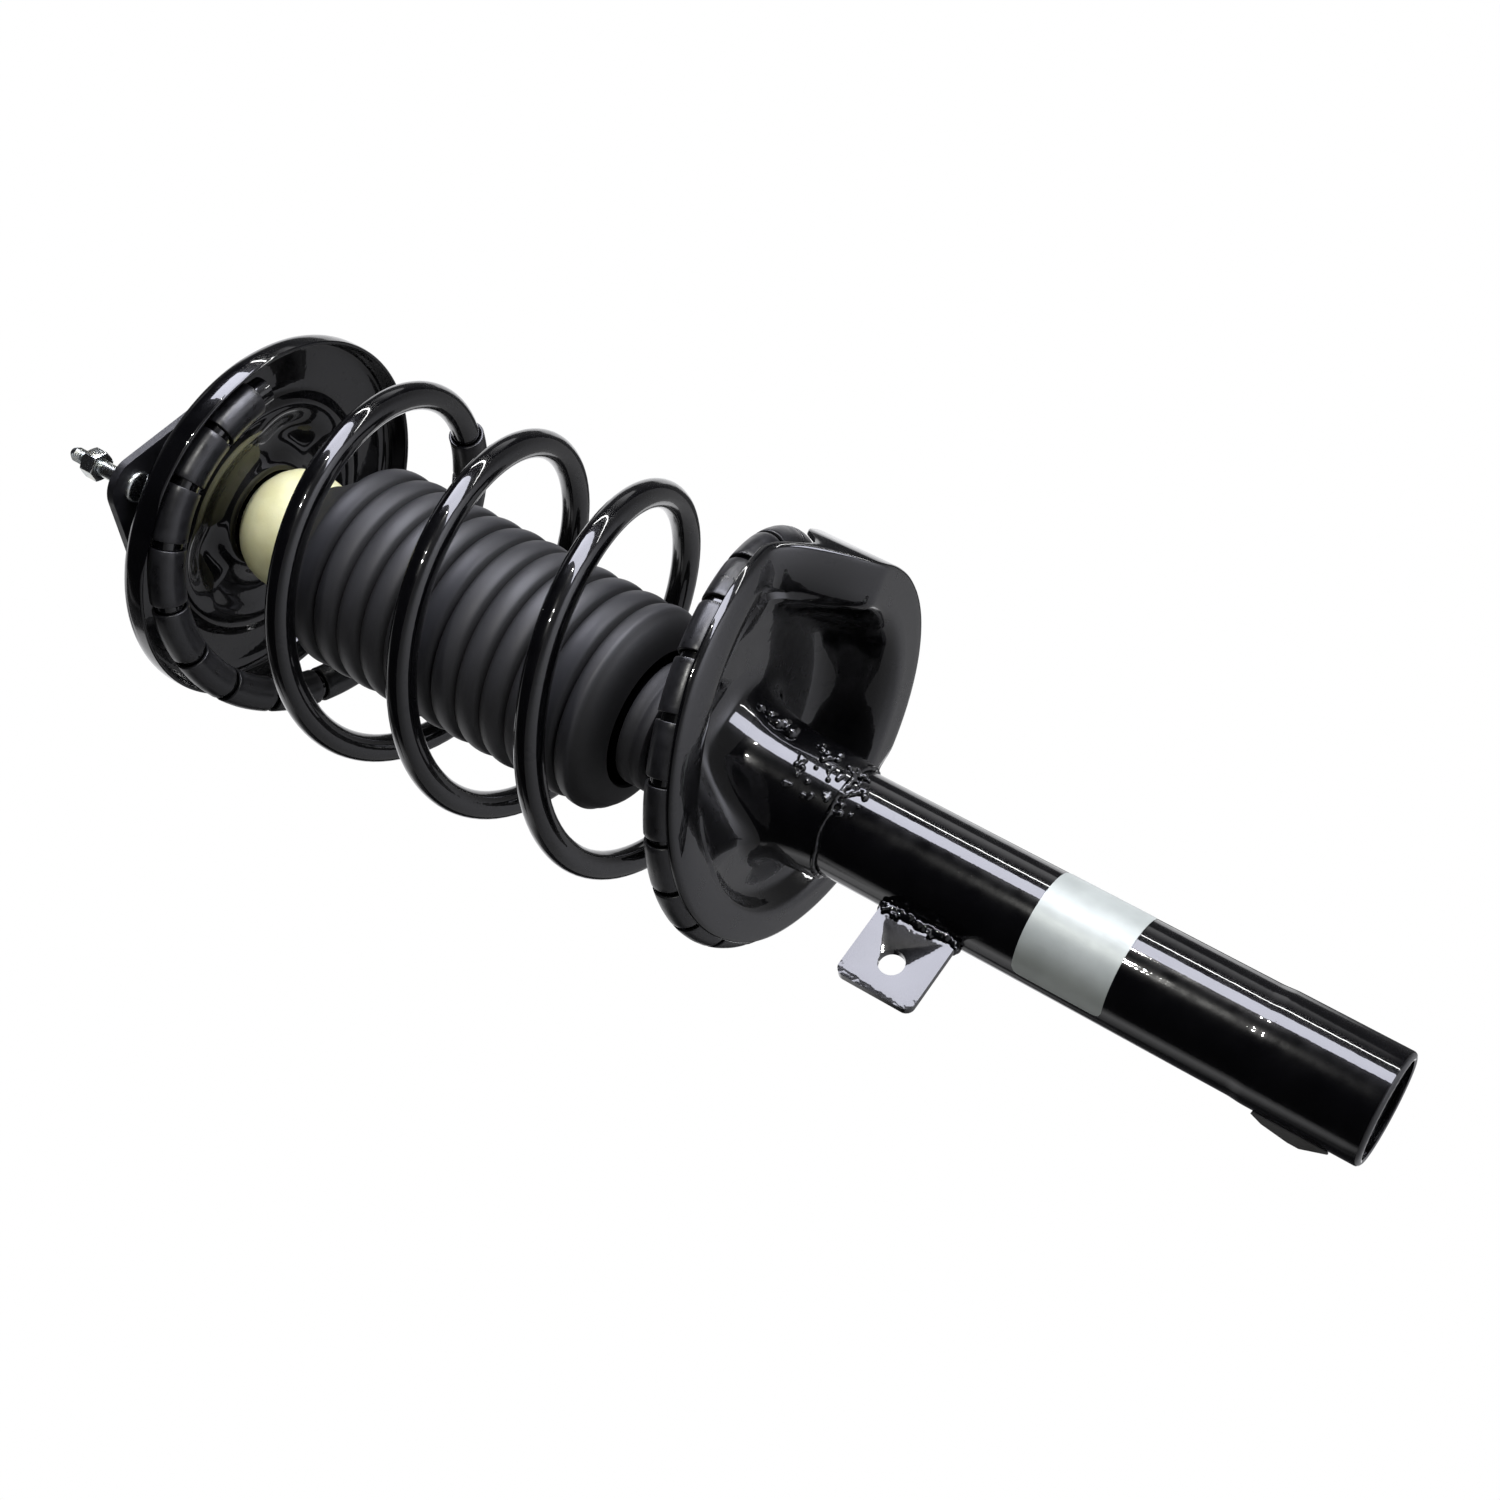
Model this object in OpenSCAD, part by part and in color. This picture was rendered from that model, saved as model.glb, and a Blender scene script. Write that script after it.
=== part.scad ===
// Front strut assembly: twin-tube damper, coil spring between two stamped seats, and a three-stud top mount.
// Frame: origin at the centre of the damper tube's lower end, +Z along the tube to the top mount.

/* [Damper tube] */
// Outside diameter of the damper tube
tube_d = 51; // [48:0.5:53]
// Wall thickness of the damper tube
tube_wall = 2; // [1.6:0.1:2.5]
// Length of the damper tube
tube_h = 385; // [380:1:390]
// Diameter of the clamp zone at the tube's lower end
clamp_d = 52; // [51.5:0.1:54]
// Height of the clamp zone
clamp_h = 56; // [40:1:70]

/* [Piston rod] */
// Diameter of the piston rod
rod_d = 22; // [20:1:22]
// Thread diameter of the rod's upper end
rod_thread_d = 14; // [12:1:14]
// Radial running clearance of the rod in its bush
rod_clearance = 0.05; // [0.02:0.01:0.09]

/* [Coil spring] */
// Wire diameter of the coil spring
wire_d = 13.8; // [12:0.1:14]
// Mean radius of the coil spring
coil_r = 84.9; // [84:0.1:86]
// Height lost in one turn of the spring
coil_pitch = 68.45; // [67:0.1:69]
// Outside diameter of the sleeves on the spring's ends
sleeve_d = 17.8; // [17:0.1:17.8]

/* [Spring seats] */
// Sheet thickness of both spring seats
seat_sheet = 3; // [2.5:0.1:3.5]
// Outside radius of the upper seat's rim
upper_rim_r = 95; // [94:0.5:97]
// Height of the upper seat's rim edge
upper_rim_z = 596; // [594:0.5:598]
// Outside radius of the lower seat's rim
lower_rim_r = 97; // [95:0.5:98]
// Sideways offset of the lower seat from the tube's axis
lower_offset = 14.2; // [12:0.1:16]

/* [Hose bracket] */
// Azimuth of the hose bracket round the tube
bracket_az = 205; // [200:1:215]
// Height of the middle of the bracket
bracket_z = 205; // [200:1:215]
// Distance of the bracket's outer edge from the axis
bracket_reach = 65; // [62:1:68]
// Size of the bracket along the tube
bracket_h = 38; // [34:1:42]
// Thickness of the bracket's plate
bracket_t = 4; // [3:0.5:5]
// Diameter of the bracket's hole
bracket_hole_d = 12; // [10:0.5:13]

/* [Top mount] */
// Underside height of the mount plate
plate_z = 620.5; // [619:0.5:622]
// Thickness of the mount plate
plate_t = 4; // [3:0.5:5]
// Radius of the mount plate's round body
plate_r = 72; // [68:1:76]
// Radius of the circle that the studs stand on
stud_circle_r = 83; // [80:0.5:86]
// Azimuth of the first stud
stud_az = -102; // [-110:1:-95]
// Thread diameter of the studs
stud_d = 8; // [8:1:10]

/* [Hidden] */
$fn = 96;
small_fn = 48;
gap = 0.05;

tube_r = tube_d / 2;
tube_bore_r = tube_r - tube_wall;
clamp_r = clamp_d / 2;
rod_r = rod_d / 2;
thread_r = rod_thread_d / 2;

// Inner tube and what closes it
pressure_bore_r = 16;
pressure_wall = 1.5;
pressure_z0 = 26;
guide_z = 350;
guide_h = 22;
seal_h = 6;
cap_z = guide_z + guide_h + seal_h + 1;

// Piston and its place on the rod when the strut hangs fully extended
piston_z = 258;
piston_h = 22;
rod_top_z = 664;
shoulder_z = 628;

// Spring path, in turns from a point near its upper end; it runs down clockwise seen from above
coil_start = -0.65;
coil_end = 3.88;
coil_top_z = 600;
coil_zero_z = 557.6;
coil_phase = 76.4;
coil_lean_az = -103.6;
end_coil_r = 77.5;
wire_sides = 12;
upper_sleeve_turns = [-0.64, 0.15];
lower_sleeve_turns = [3.19, 3.86];
sleeve_count = 14;
sleeve_wall = 1.4;

// Ramp of the lower seat: its step lies between these azimuths
ramp_gap = 0.5;
step_az = [77, 94];
hub_z = 261;
deep_z = 290;
dish_top_z = 326;

// Boot folds
boot_top_z = 570;
boot_low_z = 367;
fold_count = 12;
fold_top_z = 538;
fold_pitch = 14.4;
boot_wall = 2;
fold_crest_r = 51.5;
fold_valley_r = 46.2;

// Bearing between the upper seat and the mount
bearing_r = 38;
ball_r = 2.4;
ball_count = 30;
race_t = 1.5;
seat_top_z = coil_top_z + sleeve_d / 2 + ramp_gap + seat_sheet;

// Mount dome over the bearing
dome_r = 50;
dome_z = 644;
dome_hole_r = 33;
core_r = 17;

stud_top_z = 662;
stud_nut_z = 643;
stud_nut_h = 8;
stud_thread_r = 3.7;

function smooth(a, b, x) = let (t = min(1, max(0, (x - a) / (b - a)))) t * t * (3 - 2 * t);
function unit(v) = v / norm(v);
function coil_angle(t) = coil_phase - 360 * t;
function lower_share(t) = (t + 0.9) / 4.4;
function coil_radius(t) = end_coil_r + (coil_r - end_coil_r) * smooth(-0.62, -0.38, t);
function coil_lean(t) = (4.9 - 1.55 * t) * cos(coil_angle(t) - coil_lean_az)
    + (0.008 + 0.08 * lower_share(t)) * coil_r * cos(coil_angle(t));
function free_z(t) = coil_zero_z - coil_pitch * t + coil_lean(t);
function coil_z(t) = let (z = free_z(t), d = coil_top_z - z)
    d > 4 ? z : coil_top_z - 4 * exp((d - 4) / 4);
function coil_point(t) = [lower_offset * lower_share(t) + coil_radius(t) * cos(coil_angle(t)),
    coil_radius(t) * sin(coil_angle(t)), coil_z(t)];
function coil_ring(t, r, sides) = let (
    step = 0.004,
    ahead = unit(coil_point(t + step) - coil_point(t - step)),
    out = [cos(coil_angle(t)), sin(coil_angle(t)), 0],
    up = unit(cross(ahead, out)),
    side = cross(up, ahead))
    [for (k = [0 : sides - 1]) coil_point(t) + r * cos(360 * k / sides) * side + r * sin(360 * k / sides) * up];
function flat_list(lists) = [for (row = lists) for (item = row) item];

// Turn of the spring that lies over an azimuth of the lower seat
function seat_turn(az) = 3 + (coil_phase - az + (az > coil_phase ? 360 : 0)) / 360;
function ramp_on_coil(az) = coil_z(seat_turn(az)) - sleeve_d / 2 - ramp_gap;
function ramp_z(az) = az < step_az[0] || az > step_az[1] ? ramp_on_coil(az)
    : let (s = smooth(step_az[0], step_az[1], az))
    ramp_on_coil(step_az[0] - 0.1) * (1 - s) + ramp_on_coil(step_az[1] + 0.1) * s;

// A round bar that follows the spring between two turns
module coil_bar(t0, t1, r, sides, rings) {
    points = flat_list([for (i = [0 : rings]) coil_ring(t0 + (t1 - t0) * i / rings, r, sides)]);
    walls = [for (i = [0 : rings - 1]) for (k = [0 : sides - 1]) let (n = (k + 1) % sides)
        each [[i * sides + k, (i + 1) * sides + k, (i + 1) * sides + n],
              [i * sides + k, (i + 1) * sides + n, i * sides + n]]];
    start_cap = [[for (k = [0 : sides - 1]) k]];
    end_cap = [[for (k = [sides - 1 : -1 : 0]) rings * sides + k]];
    polyhedron(points, concat(walls, start_cap, end_cap));
}

// A tube that follows the spring between two turns
module coil_tube(t0, t1, r_out, r_in, sides, rings) {
    outer = [for (i = [0 : rings]) coil_ring(t0 + (t1 - t0) * i / rings, r_out, sides)];
    inner = [for (i = [0 : rings]) coil_ring(t0 + (t1 - t0) * i / rings, r_in, sides)];
    points = flat_list(concat(outer, inner));
    shift = (rings + 1) * sides;
    walls = [for (i = [0 : rings - 1]) for (k = [0 : sides - 1]) let (n = (k + 1) % sides)
        each [[i * sides + k, (i + 1) * sides + k, (i + 1) * sides + n],
              [i * sides + k, (i + 1) * sides + n, i * sides + n],
              [shift + i * sides + k, shift + (i + 1) * sides + n, shift + (i + 1) * sides + k],
              [shift + i * sides + k, shift + i * sides + n, shift + (i + 1) * sides + n]]];
    last = rings * sides;
    ends = [for (k = [0 : sides - 1]) let (n = (k + 1) % sides)
        each [[k, n, shift + n], [k, shift + n, shift + k],
              [last + n, last + k, shift + last + k], [last + n, shift + last + k, shift + last + n]]];
    polyhedron(points, concat(walls, ends));
}

// A row of short sleeves with a small gap between each two
module coil_sleeves(turns) {
    pitch = (turns[1] - turns[0]) / sleeve_count;
    gap_turns = pitch * 0.08;
    for (i = [0 : sleeve_count - 1])
        coil_tube(turns[0] + i * pitch + gap_turns, turns[0] + (i + 1) * pitch,
                  sleeve_d / 2, sleeve_d / 2 - sleeve_wall, 14, 4);
}

// A closed skin made of one outline for each azimuth
module turned_skin(outlines) {
    count = len(outlines);
    sides = len(outlines[0]);
    faces = [for (i = [0 : count - 1]) for (j = [0 : sides - 1])
        let (m = (i + 1) % count, n = (j + 1) % sides)
        each [[i * sides + j, i * sides + n, m * sides + n], [i * sides + j, m * sides + n, m * sides + j]]];
    polyhedron(flat_list(outlines), faces);
}

// A ring between two radii and two heights
module ring(r_in, r_out, z0, z1) {
    rotate_extrude() translate([r_in, z0]) square([r_out - r_in, z1 - z0]);
}

module hexagon_nut(thread, across, z0, h) {
    difference() {
        translate([0, 0, z0]) cylinder(h = h, r = across / 2 / cos(30), $fn = 6);
        translate([0, 0, z0 - 1]) cylinder(h = h + 2, r = thread + gap, $fn = small_fn);
    }
}

module at_studs() {
    for (i = [0 : 2]) rotate([0, 0, stud_az + 120 * i]) translate([stud_circle_r, 0, 0]) children();
}

module outer_tube() {
    color("#15151a") rotate_extrude() polygon([
        [clamp_r - 3, 0], [clamp_r - 1.2, 0], [clamp_r - 0.3, 0.6], [clamp_r, 1.5], [clamp_r, clamp_h],
        [tube_r, clamp_h + 3], [tube_r, tube_h - 1.5], [tube_r - 1.5, tube_h], [tube_bore_r - 3, tube_h],
        [tube_bore_r - 3, tube_h - 1.8], [tube_bore_r, tube_h - 1.8], [tube_bore_r, 3],
        [clamp_r - 3, 1.5]]);
}

module base_cap() {
    color("#15151a") rotate_extrude() polygon([
        [0, 9], [12, 8], [19, 5.5], [tube_bore_r - 2.5, 4], [tube_bore_r, 4], [tube_bore_r, 14],
        [tube_bore_r - 2, 14], [tube_bore_r - 2, 7], [18.5, 8], [12, 10.5], [0, 11.5]]);
}

module locating_tab() {
    color("#202024") translate([0, 2.5, 0]) rotate([90, 0, 0]) linear_extrude(5)
        polygon([[-clamp_r - 0.02, 14], [-27.5, 15.5], [-30.8, 24.4], [-30.6, 30], [-29.3, 41.4],
                 [-clamp_r - 0.02, 51]]);
}

module hose_bracket() {
    corner = 4;
    color("#17171b") rotate([0, 0, bracket_az]) difference() {
        translate([0, bracket_t / 2, bracket_z]) rotate([90, 0, 0]) linear_extrude(bracket_t) union() {
            translate([tube_r + gap, -bracket_h / 2])
                square([bracket_reach - corner - tube_r - gap, bracket_h]);
            translate([tube_r + gap, -bracket_h / 2 + corner])
                square([bracket_reach - tube_r - gap, bracket_h - 2 * corner]);
            for (s = [-1, 1]) translate([bracket_reach - corner, s * (bracket_h / 2 - corner)])
                circle(r = corner, $fn = small_fn);
        }
        translate([49, bracket_t, bracket_z]) rotate([90, 0, 0])
            cylinder(h = 2 * bracket_t, r = bracket_hole_d / 2, $fn = small_fn);
    }
}

module weld_beads() {
    bead = 2.2;
    color("#1b1b1f") union() {
        for (s = [-1, 1]) rotate([0, 0, bracket_az])
            for (i = [0 : 6])
                translate([tube_r + bead + 0.1, s * (bracket_t / 2 + bead + gap), bracket_z + (i - 3) * 5.4])
                    sphere(r = bead, $fn = 24);
        rotate_extrude() translate([tube_r + 2.1, hub_z - 2.5]) circle(r = 2, $fn = 24);
    }
}

function blend(a, b, s) = a * (1 - s) + b * s;
function centre_share(r) = min(1, max(0, (r - 30) / 45));

// Rim radius, underside of the channel, top of the dish and top of the outer wall at an azimuth
function rim_radius(az) = lower_rim_r - 11 * (az > 0 ? smooth(70, 125, az) : min(1, max(0, (-az - 85) / 95)));
function channel_z(az) = az < -14 ? blend(ramp_z(az) - 3, deep_z, smooth(-42, -14, az))
    : az < 94 ? blend(deep_z, ramp_on_coil(94.2) - 3, smooth(79, 94, az)) : ramp_z(az) - 3;
function dish_z(az) = dish_top_z - 34 * (az > 0 ? smooth(70, 110, az) : smooth(90, 150, -az));
function wall_z(az) = blend(channel_z(az) + 2.9, 331, az < 20 ? smooth(-34, -16, az) : 1 - smooth(72, 90, az));

// Underside of the seat's sheet: up the neck, under the dish, down to the channel and out to the rim
function seat_skin(az) = let (z = channel_z(az), h = dish_z(az), k = (rim_radius(az) - 36) / 61)
    concat([for (u = [0, 0.12, 0.25, 0.4, 0.55, 0.7, 0.82, 0.92])
                [tube_r + gap + 2.6 + 3.2 * u + 8 * pow(u, 6), blend(hub_z, h, u)]],
        [for (q = [[43, 0.985], [49, 1], [56, 1], [61, 0.97], [65, 0.85], [68.5, 0.6], [71.5, 0.28], [74.5, 0.07],
                   [78, 0], [84, 0], [89, 0]])
            [36 + (q[0] - 36) * k, blend(z, h, q[1])]]);
function inward(line, i, t) = let (
    a = line[max(0, i - 1)], b = line[min(len(line) - 1, i + 1)], d = (b - a) / norm(b - a))
    line[i] + t * [-d[1], d[0]];
function seat_outline(az) = let (
    skin = seat_skin(az),
    t = seat_sheet - 0.4,
    z = channel_z(az),
    r = rim_radius(az),
    edge = [[r - 2.2, z], [r - 0.7, z + 0.6], [r, z + 2.1], [r, wall_z(az)], [r - t, wall_z(az)],
        [r - t, z + t + 0.15], [r - 5, z + t]],
    lining = [for (i = [len(skin) - 1 : -1 : 1]) inward(skin, i, t)],
    line = concat([[tube_r + gap, hub_z]], skin, edge, lining, [[tube_r + gap, hub_z + 5.2]]))
    [for (p = line) [centre_share(p[0]) * lower_offset + p[0] * cos(az), p[0] * sin(az), p[1]]];

module lower_spring_seat() {
    color("#151519") turned_skin([for (i = [0 : 95]) seat_outline(-180 + 3.75 * i)]);
}

module lower_coil_sleeve() {
    color("#232326") coil_sleeves(lower_sleeve_turns);
}

module tube_label() {
    color("#b9bdb9") rotate([0, 0, -150]) rotate_extrude(angle = 145)
        translate([tube_r + 0.02, 117.5]) square([0.2, 43]);
}

module coil_spring() {
    color("#101013") coil_bar(coil_start, coil_end, wire_d / 2, wire_sides, 166);
}

module pressure_tube() {
    color("#8f9294") ring(pressure_bore_r, pressure_bore_r + pressure_wall, pressure_z0, guide_z - 0.1);
}

module base_valve() {
    color("#a5a29a") rotate_extrude() polygon([
        [0, 15], [pressure_bore_r + pressure_wall, 15], [pressure_bore_r + pressure_wall, pressure_z0 - gap],
        [pressure_bore_r - gap, pressure_z0 - gap], [pressure_bore_r - gap, 34], [6, 34], [6, 38], [0, 38]]);
}

module rod_guide() {
    color("#77787a") rotate_extrude() polygon([
        [rod_r + 1.6, guide_z + 2], [pressure_bore_r - gap, guide_z - 6], [pressure_bore_r - gap, guide_z],
        [tube_bore_r - gap, guide_z], [tube_bore_r - gap, guide_z + guide_h], [rod_r + 1.6, guide_z + guide_h]]);
}

module guide_bush() {
    color("#a47b4b") ring(rod_r + rod_clearance, rod_r + 1.6 - gap, guide_z + 3, guide_z + guide_h - 1);
}

module rod_seal() {
    color("#1d1d1d") ring(rod_r + rod_clearance, tube_bore_r - gap, guide_z + guide_h + gap, cap_z - 1);
}

module seal_cap() {
    color("#9a9da0") ring(rod_r + 0.6, tube_bore_r - gap, cap_z - 1 + gap, tube_h - 1.85);
}

function fold_z(i) = fold_top_z - fold_pitch * i;
boot_outer = concat([[28.3 + boot_wall, boot_top_z], [31.5, 566], [44, 548]],
    [for (i = [0 : fold_count - 1]) each [[fold_crest_r, fold_z(i)],
        [fold_valley_r, fold_z(i) - fold_pitch / 2]]]);
boot_body = [for (i = [0 : len(boot_outer) - 2]) boot_outer[i]];

module dust_boot() {
    outer = concat(boot_body, [[48, 373], [41, 369], [34, boot_low_z]]);
    inner = [for (i = [len(outer) - 1 : -1 : 0]) [outer[i][0] - boot_wall, outer[i][1] + (i > 14 ? 1.2 : 0)]];
    color("#242426") rotate_extrude() polygon(concat(outer, inner));
}

module boot_ring() {
    color("#1e1e1f") ring(tube_r + gap, 31, 352, 366);
}

module upper_spring_seat() {
    t = seat_sheet;
    roof = seat_top_z - t;
    color("#151519") rotate_extrude() polygon([
        [upper_rim_r - t, upper_rim_z], [upper_rim_r - 0.8, upper_rim_z], [upper_rim_r, upper_rim_z + 1],
        [upper_rim_r, roof - 4], [upper_rim_r - 1.5, roof + 1], [upper_rim_r - 6, seat_top_z],
        [30, seat_top_z], [27, seat_top_z + 1.5], [24, seat_top_z + 1.5], [24, roof - 5.5], [25, roof - 6.2],
        [27, roof - 5.5], [28.5, roof - 1.5], [32, roof], [42, roof - 1], [48, roof - 6], [58, roof - 6],
        [62, roof], [upper_rim_r - 7, roof], [upper_rim_r - t, roof - 4.5]]);
}

module upper_coil_sleeve() {
    color("#232326") coil_sleeves(upper_sleeve_turns);
}

module bearing_lower_race() {
    color("#a8abad") difference() {
        ring(bearing_r - 7, bearing_r + 7, seat_top_z + gap, seat_top_z + gap + race_t + 1);
        rotate_extrude() translate([bearing_r, seat_top_z + gap + race_t + ball_r]) circle(r = ball_r + 0.03);
    }
}

module bearing_balls() {
    color("#d0d2d4") for (i = [0 : ball_count - 1]) rotate([0, 0, 360 * i / ball_count])
        translate([bearing_r, 0, seat_top_z + gap + race_t + ball_r]) sphere(r = ball_r, $fn = small_fn);
}

module bearing_upper_race() {
    z = seat_top_z + gap + race_t + 2 * ball_r;
    color("#a8abad") difference() {
        ring(bearing_r - 7, bearing_r + 7, z - 1, z + race_t);
        rotate_extrude() translate([bearing_r, z - ball_r]) circle(r = ball_r + 0.05);
    }
}

module piston_rod() {
    color("#c9ccd0") rotate_extrude() polygon([
        [0, 236], [5.5, 236], [6, 237], [6, piston_z + piston_h + 4], [rod_r - 1, piston_z + piston_h + 4],
        [rod_r, piston_z + piston_h + 5], [rod_r, shoulder_z - 1], [rod_r - 1, shoulder_z],
        [thread_r, shoulder_z], [thread_r, rod_top_z - 1.5], [thread_r - 1.5, rod_top_z], [0, rod_top_z]]);
}

module piston() {
    color("#8d8f91") difference() {
        ring(6 + gap, pressure_bore_r - gap, piston_z, piston_z + piston_h);
        ring(pressure_bore_r - 1, pressure_bore_r + 1, piston_z + 6, piston_z + 16);
        for (i = [0 : 7]) rotate([0, 0, 45 * i]) translate([11, 0, piston_z - 1])
            cylinder(h = piston_h + 2, r = 1.5, $fn = small_fn);
    }
}

module piston_band() {
    color("#3a5a52") ring(pressure_bore_r - 1 + 0.02, pressure_bore_r - 0.02, piston_z + 6.1, piston_z + 15.9);
}

module valve_shims() {
    color("#b5b7b9") union() {
        ring(6 + gap, 14, piston_z - 1.2, piston_z - gap);
        ring(6 + gap, 13, piston_z + piston_h + gap, piston_z + piston_h + 1.2);
        ring(6 + gap, 9.5, piston_z + piston_h + 1.2, piston_z + piston_h + 3.9);
    }
}

module piston_nut() {
    color("#7e8082") hexagon_nut(6, 19, piston_z - 11, 9.7);
}

module rebound_stop() {
    color("#2b2b2d") ring(rod_r + 0.02, pressure_bore_r - 1, 332, 343.8);
}

module bump_stop() {
    color("#d9d7ac") rotate_extrude() polygon([
        [rod_r + 0.1, 548], [24, 548], [27, 551], [29.5, 556], [29.5, 562], [27.9, 567], [27.9, 571],
        [30.2, 578], [31, 585], [30.2, 591], [27, 598.5], [22.5, 603.5], [17, 606.8], [rod_r + 0.1, 608.5]]);
}

// Mount plate outline: a round body with three rounded ears
module plate_outline() {
    ear = 15;
    lean = acos((plate_r - ear) / stud_circle_r);
    circle(r = plate_r, $fn = 144);
    for (i = [0 : 2]) rotate(stud_az + 120 * i) {
        translate([stud_circle_r, 0]) circle(r = ear, $fn = small_fn);
        polygon([[0, 0], plate_r * [cos(lean), -sin(lean)],
            [stud_circle_r, 0] + ear * [cos(lean), -sin(lean)], [stud_circle_r, 0] + ear * [cos(lean), sin(lean)],
            plate_r * [cos(lean), sin(lean)]]);
    }
}

module mount_plate() {
    top = plate_z + plate_t;
    color("#1b1b1e") difference() {
        union() {
            translate([0, 0, plate_z]) linear_extrude(plate_t) plate_outline();
            rotate_extrude() polygon([[40, plate_z], [dome_r + 6, plate_z], [dome_r + 6, top],
                [dome_r + 1, top + 2], [dome_r, top + 5], [dome_r - 1, dome_z - 2], [dome_r - 3, dome_z],
                [dome_hole_r, dome_z], [dome_hole_r, dome_z - 3], [40, dome_z - 3]]);
        }
        translate([0, 0, plate_z - 1]) cylinder(h = dome_z - 3 - plate_z + 1, r = dome_r - 4);
        at_studs() translate([0, 0, plate_z - 1]) cylinder(h = plate_t + 2, r = stud_d / 2 + 0.4, $fn = small_fn);
    }
}

module mount_rubber() {
    z0 = seat_top_z + gap + race_t + 2 * ball_r + race_t + gap;
    color("#222224") rotate_extrude() polygon([
        [core_r + gap, z0], [dome_r - 4 - gap, z0], [dome_r - 4 - gap, dome_z - 3 - gap],
        [dome_hole_r - gap, dome_z - 3 - gap], [dome_hole_r - gap, dome_z + 1], [dome_hole_r - 3, dome_z + 2],
        [core_r + 3, dome_z - 1], [core_r + gap, dome_z - 3]]);
}

module mount_core() {
    color("#8e9194") rotate_extrude() polygon([
        [thread_r + gap, shoulder_z + gap], [core_r, shoulder_z + gap], [core_r, dome_z + 1],
        [core_r - 1, dome_z + 2], [thread_r + gap, dome_z + 2]]);
}

module mount_studs() {
    head_r = 7.8;
    collar_z = plate_z + plate_t - 0.05;
    shank_z = stud_nut_z - 0.7;
    color("#c3c7c9") at_studs() union() {
        translate([0, 0, plate_z - 2.6]) cylinder(h = 2.6 - gap, r = head_r, $fn = small_fn);
        translate([0, 0, plate_z - gap - 0.1])
            cylinder(h = collar_z - plate_z + gap + 0.1, r = stud_d / 2 + 0.25, $fn = small_fn);
        translate([0, 0, collar_z - 0.3]) cylinder(h = shank_z - collar_z + 0.3, r = stud_d / 2, $fn = small_fn);
        translate([0, 0, shank_z - 0.3]) cylinder(h = stud_top_z - shank_z + 0.3, r = stud_thread_r, $fn = small_fn);
    }
}

module stud_nuts() {
    color("#b9bdc0") at_studs() hexagon_nut(stud_thread_r, 13, stud_nut_z, stud_nut_h);
}

module rod_washer() {
    color("#a9acae") ring(thread_r + gap, 20, dome_z + 2 + gap, dome_z + 5);
}

module rod_nut() {
    color("#b9bdc0") hexagon_nut(thread_r, 21, dome_z + 5 + gap, 12);
}

outer_tube();
base_cap();
locating_tab();
hose_bracket();
weld_beads();
lower_spring_seat();
lower_coil_sleeve();
tube_label();
coil_spring();
pressure_tube();
base_valve();
rod_guide();
guide_bush();
rod_seal();
seal_cap();
dust_boot();
boot_ring();
upper_spring_seat();
upper_coil_sleeve();
bearing_lower_race();
bearing_balls();
bearing_upper_race();
piston_rod();
piston();
piston_band();
valve_shims();
piston_nut();
rebound_stop();
bump_stop();
mount_plate();
mount_rubber();
mount_core();
mount_studs();
stud_nuts();
rod_washer();
rod_nut();
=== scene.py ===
"""Strut assembly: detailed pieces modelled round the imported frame, as an add-on that also runs as a script."""

import math
import random

import bpy
from mathutils import Matrix, Vector
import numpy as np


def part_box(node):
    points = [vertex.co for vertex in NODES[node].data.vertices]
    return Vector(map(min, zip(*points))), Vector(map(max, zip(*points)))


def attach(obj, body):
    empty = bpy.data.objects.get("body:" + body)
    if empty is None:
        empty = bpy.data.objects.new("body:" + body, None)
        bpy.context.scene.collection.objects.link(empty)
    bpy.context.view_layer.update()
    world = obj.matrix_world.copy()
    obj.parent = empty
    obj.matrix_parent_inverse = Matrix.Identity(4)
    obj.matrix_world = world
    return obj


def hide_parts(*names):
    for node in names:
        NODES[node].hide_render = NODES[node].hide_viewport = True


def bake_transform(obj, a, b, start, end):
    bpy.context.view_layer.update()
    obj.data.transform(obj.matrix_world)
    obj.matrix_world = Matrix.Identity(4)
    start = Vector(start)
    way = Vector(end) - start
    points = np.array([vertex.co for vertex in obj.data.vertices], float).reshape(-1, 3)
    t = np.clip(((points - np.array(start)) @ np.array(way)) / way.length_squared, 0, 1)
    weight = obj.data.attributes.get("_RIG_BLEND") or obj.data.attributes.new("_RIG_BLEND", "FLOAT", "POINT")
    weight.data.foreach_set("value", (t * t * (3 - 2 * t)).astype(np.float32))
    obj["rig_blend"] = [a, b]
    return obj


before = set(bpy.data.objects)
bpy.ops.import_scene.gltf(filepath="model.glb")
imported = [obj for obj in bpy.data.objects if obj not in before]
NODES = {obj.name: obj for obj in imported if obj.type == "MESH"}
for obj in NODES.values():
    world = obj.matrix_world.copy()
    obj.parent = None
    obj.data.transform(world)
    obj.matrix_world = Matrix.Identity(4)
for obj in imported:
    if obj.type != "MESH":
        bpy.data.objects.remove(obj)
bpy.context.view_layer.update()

bl_info = {
    "name": "Strut assembly pieces",
    "version": (1, 0, 0),
    "blender": (4, 5, 0),
    "location": "View3D > Sidebar > Strut",
    "description": "Models the visible pieces of a suspension strut round its packed frame",
    "category": "Object",
}

MM = 0.001


def low_mm(node):
    """Lowest corner of a CAD node, in millimetres."""
    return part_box(node)[0] / MM


def high_mm(node):
    """Highest corner of a CAD node, in millimetres."""
    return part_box(node)[1] / MM


def smooth(a, b, x):
    """0 before a, 1 after b and an S-curve between."""
    t = min(1.0, max(0.0, (x - a) / (b - a)))
    return t * t * (3 - 2 * t)


# ---------------------------------------------------------------- colours and nodes


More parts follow.
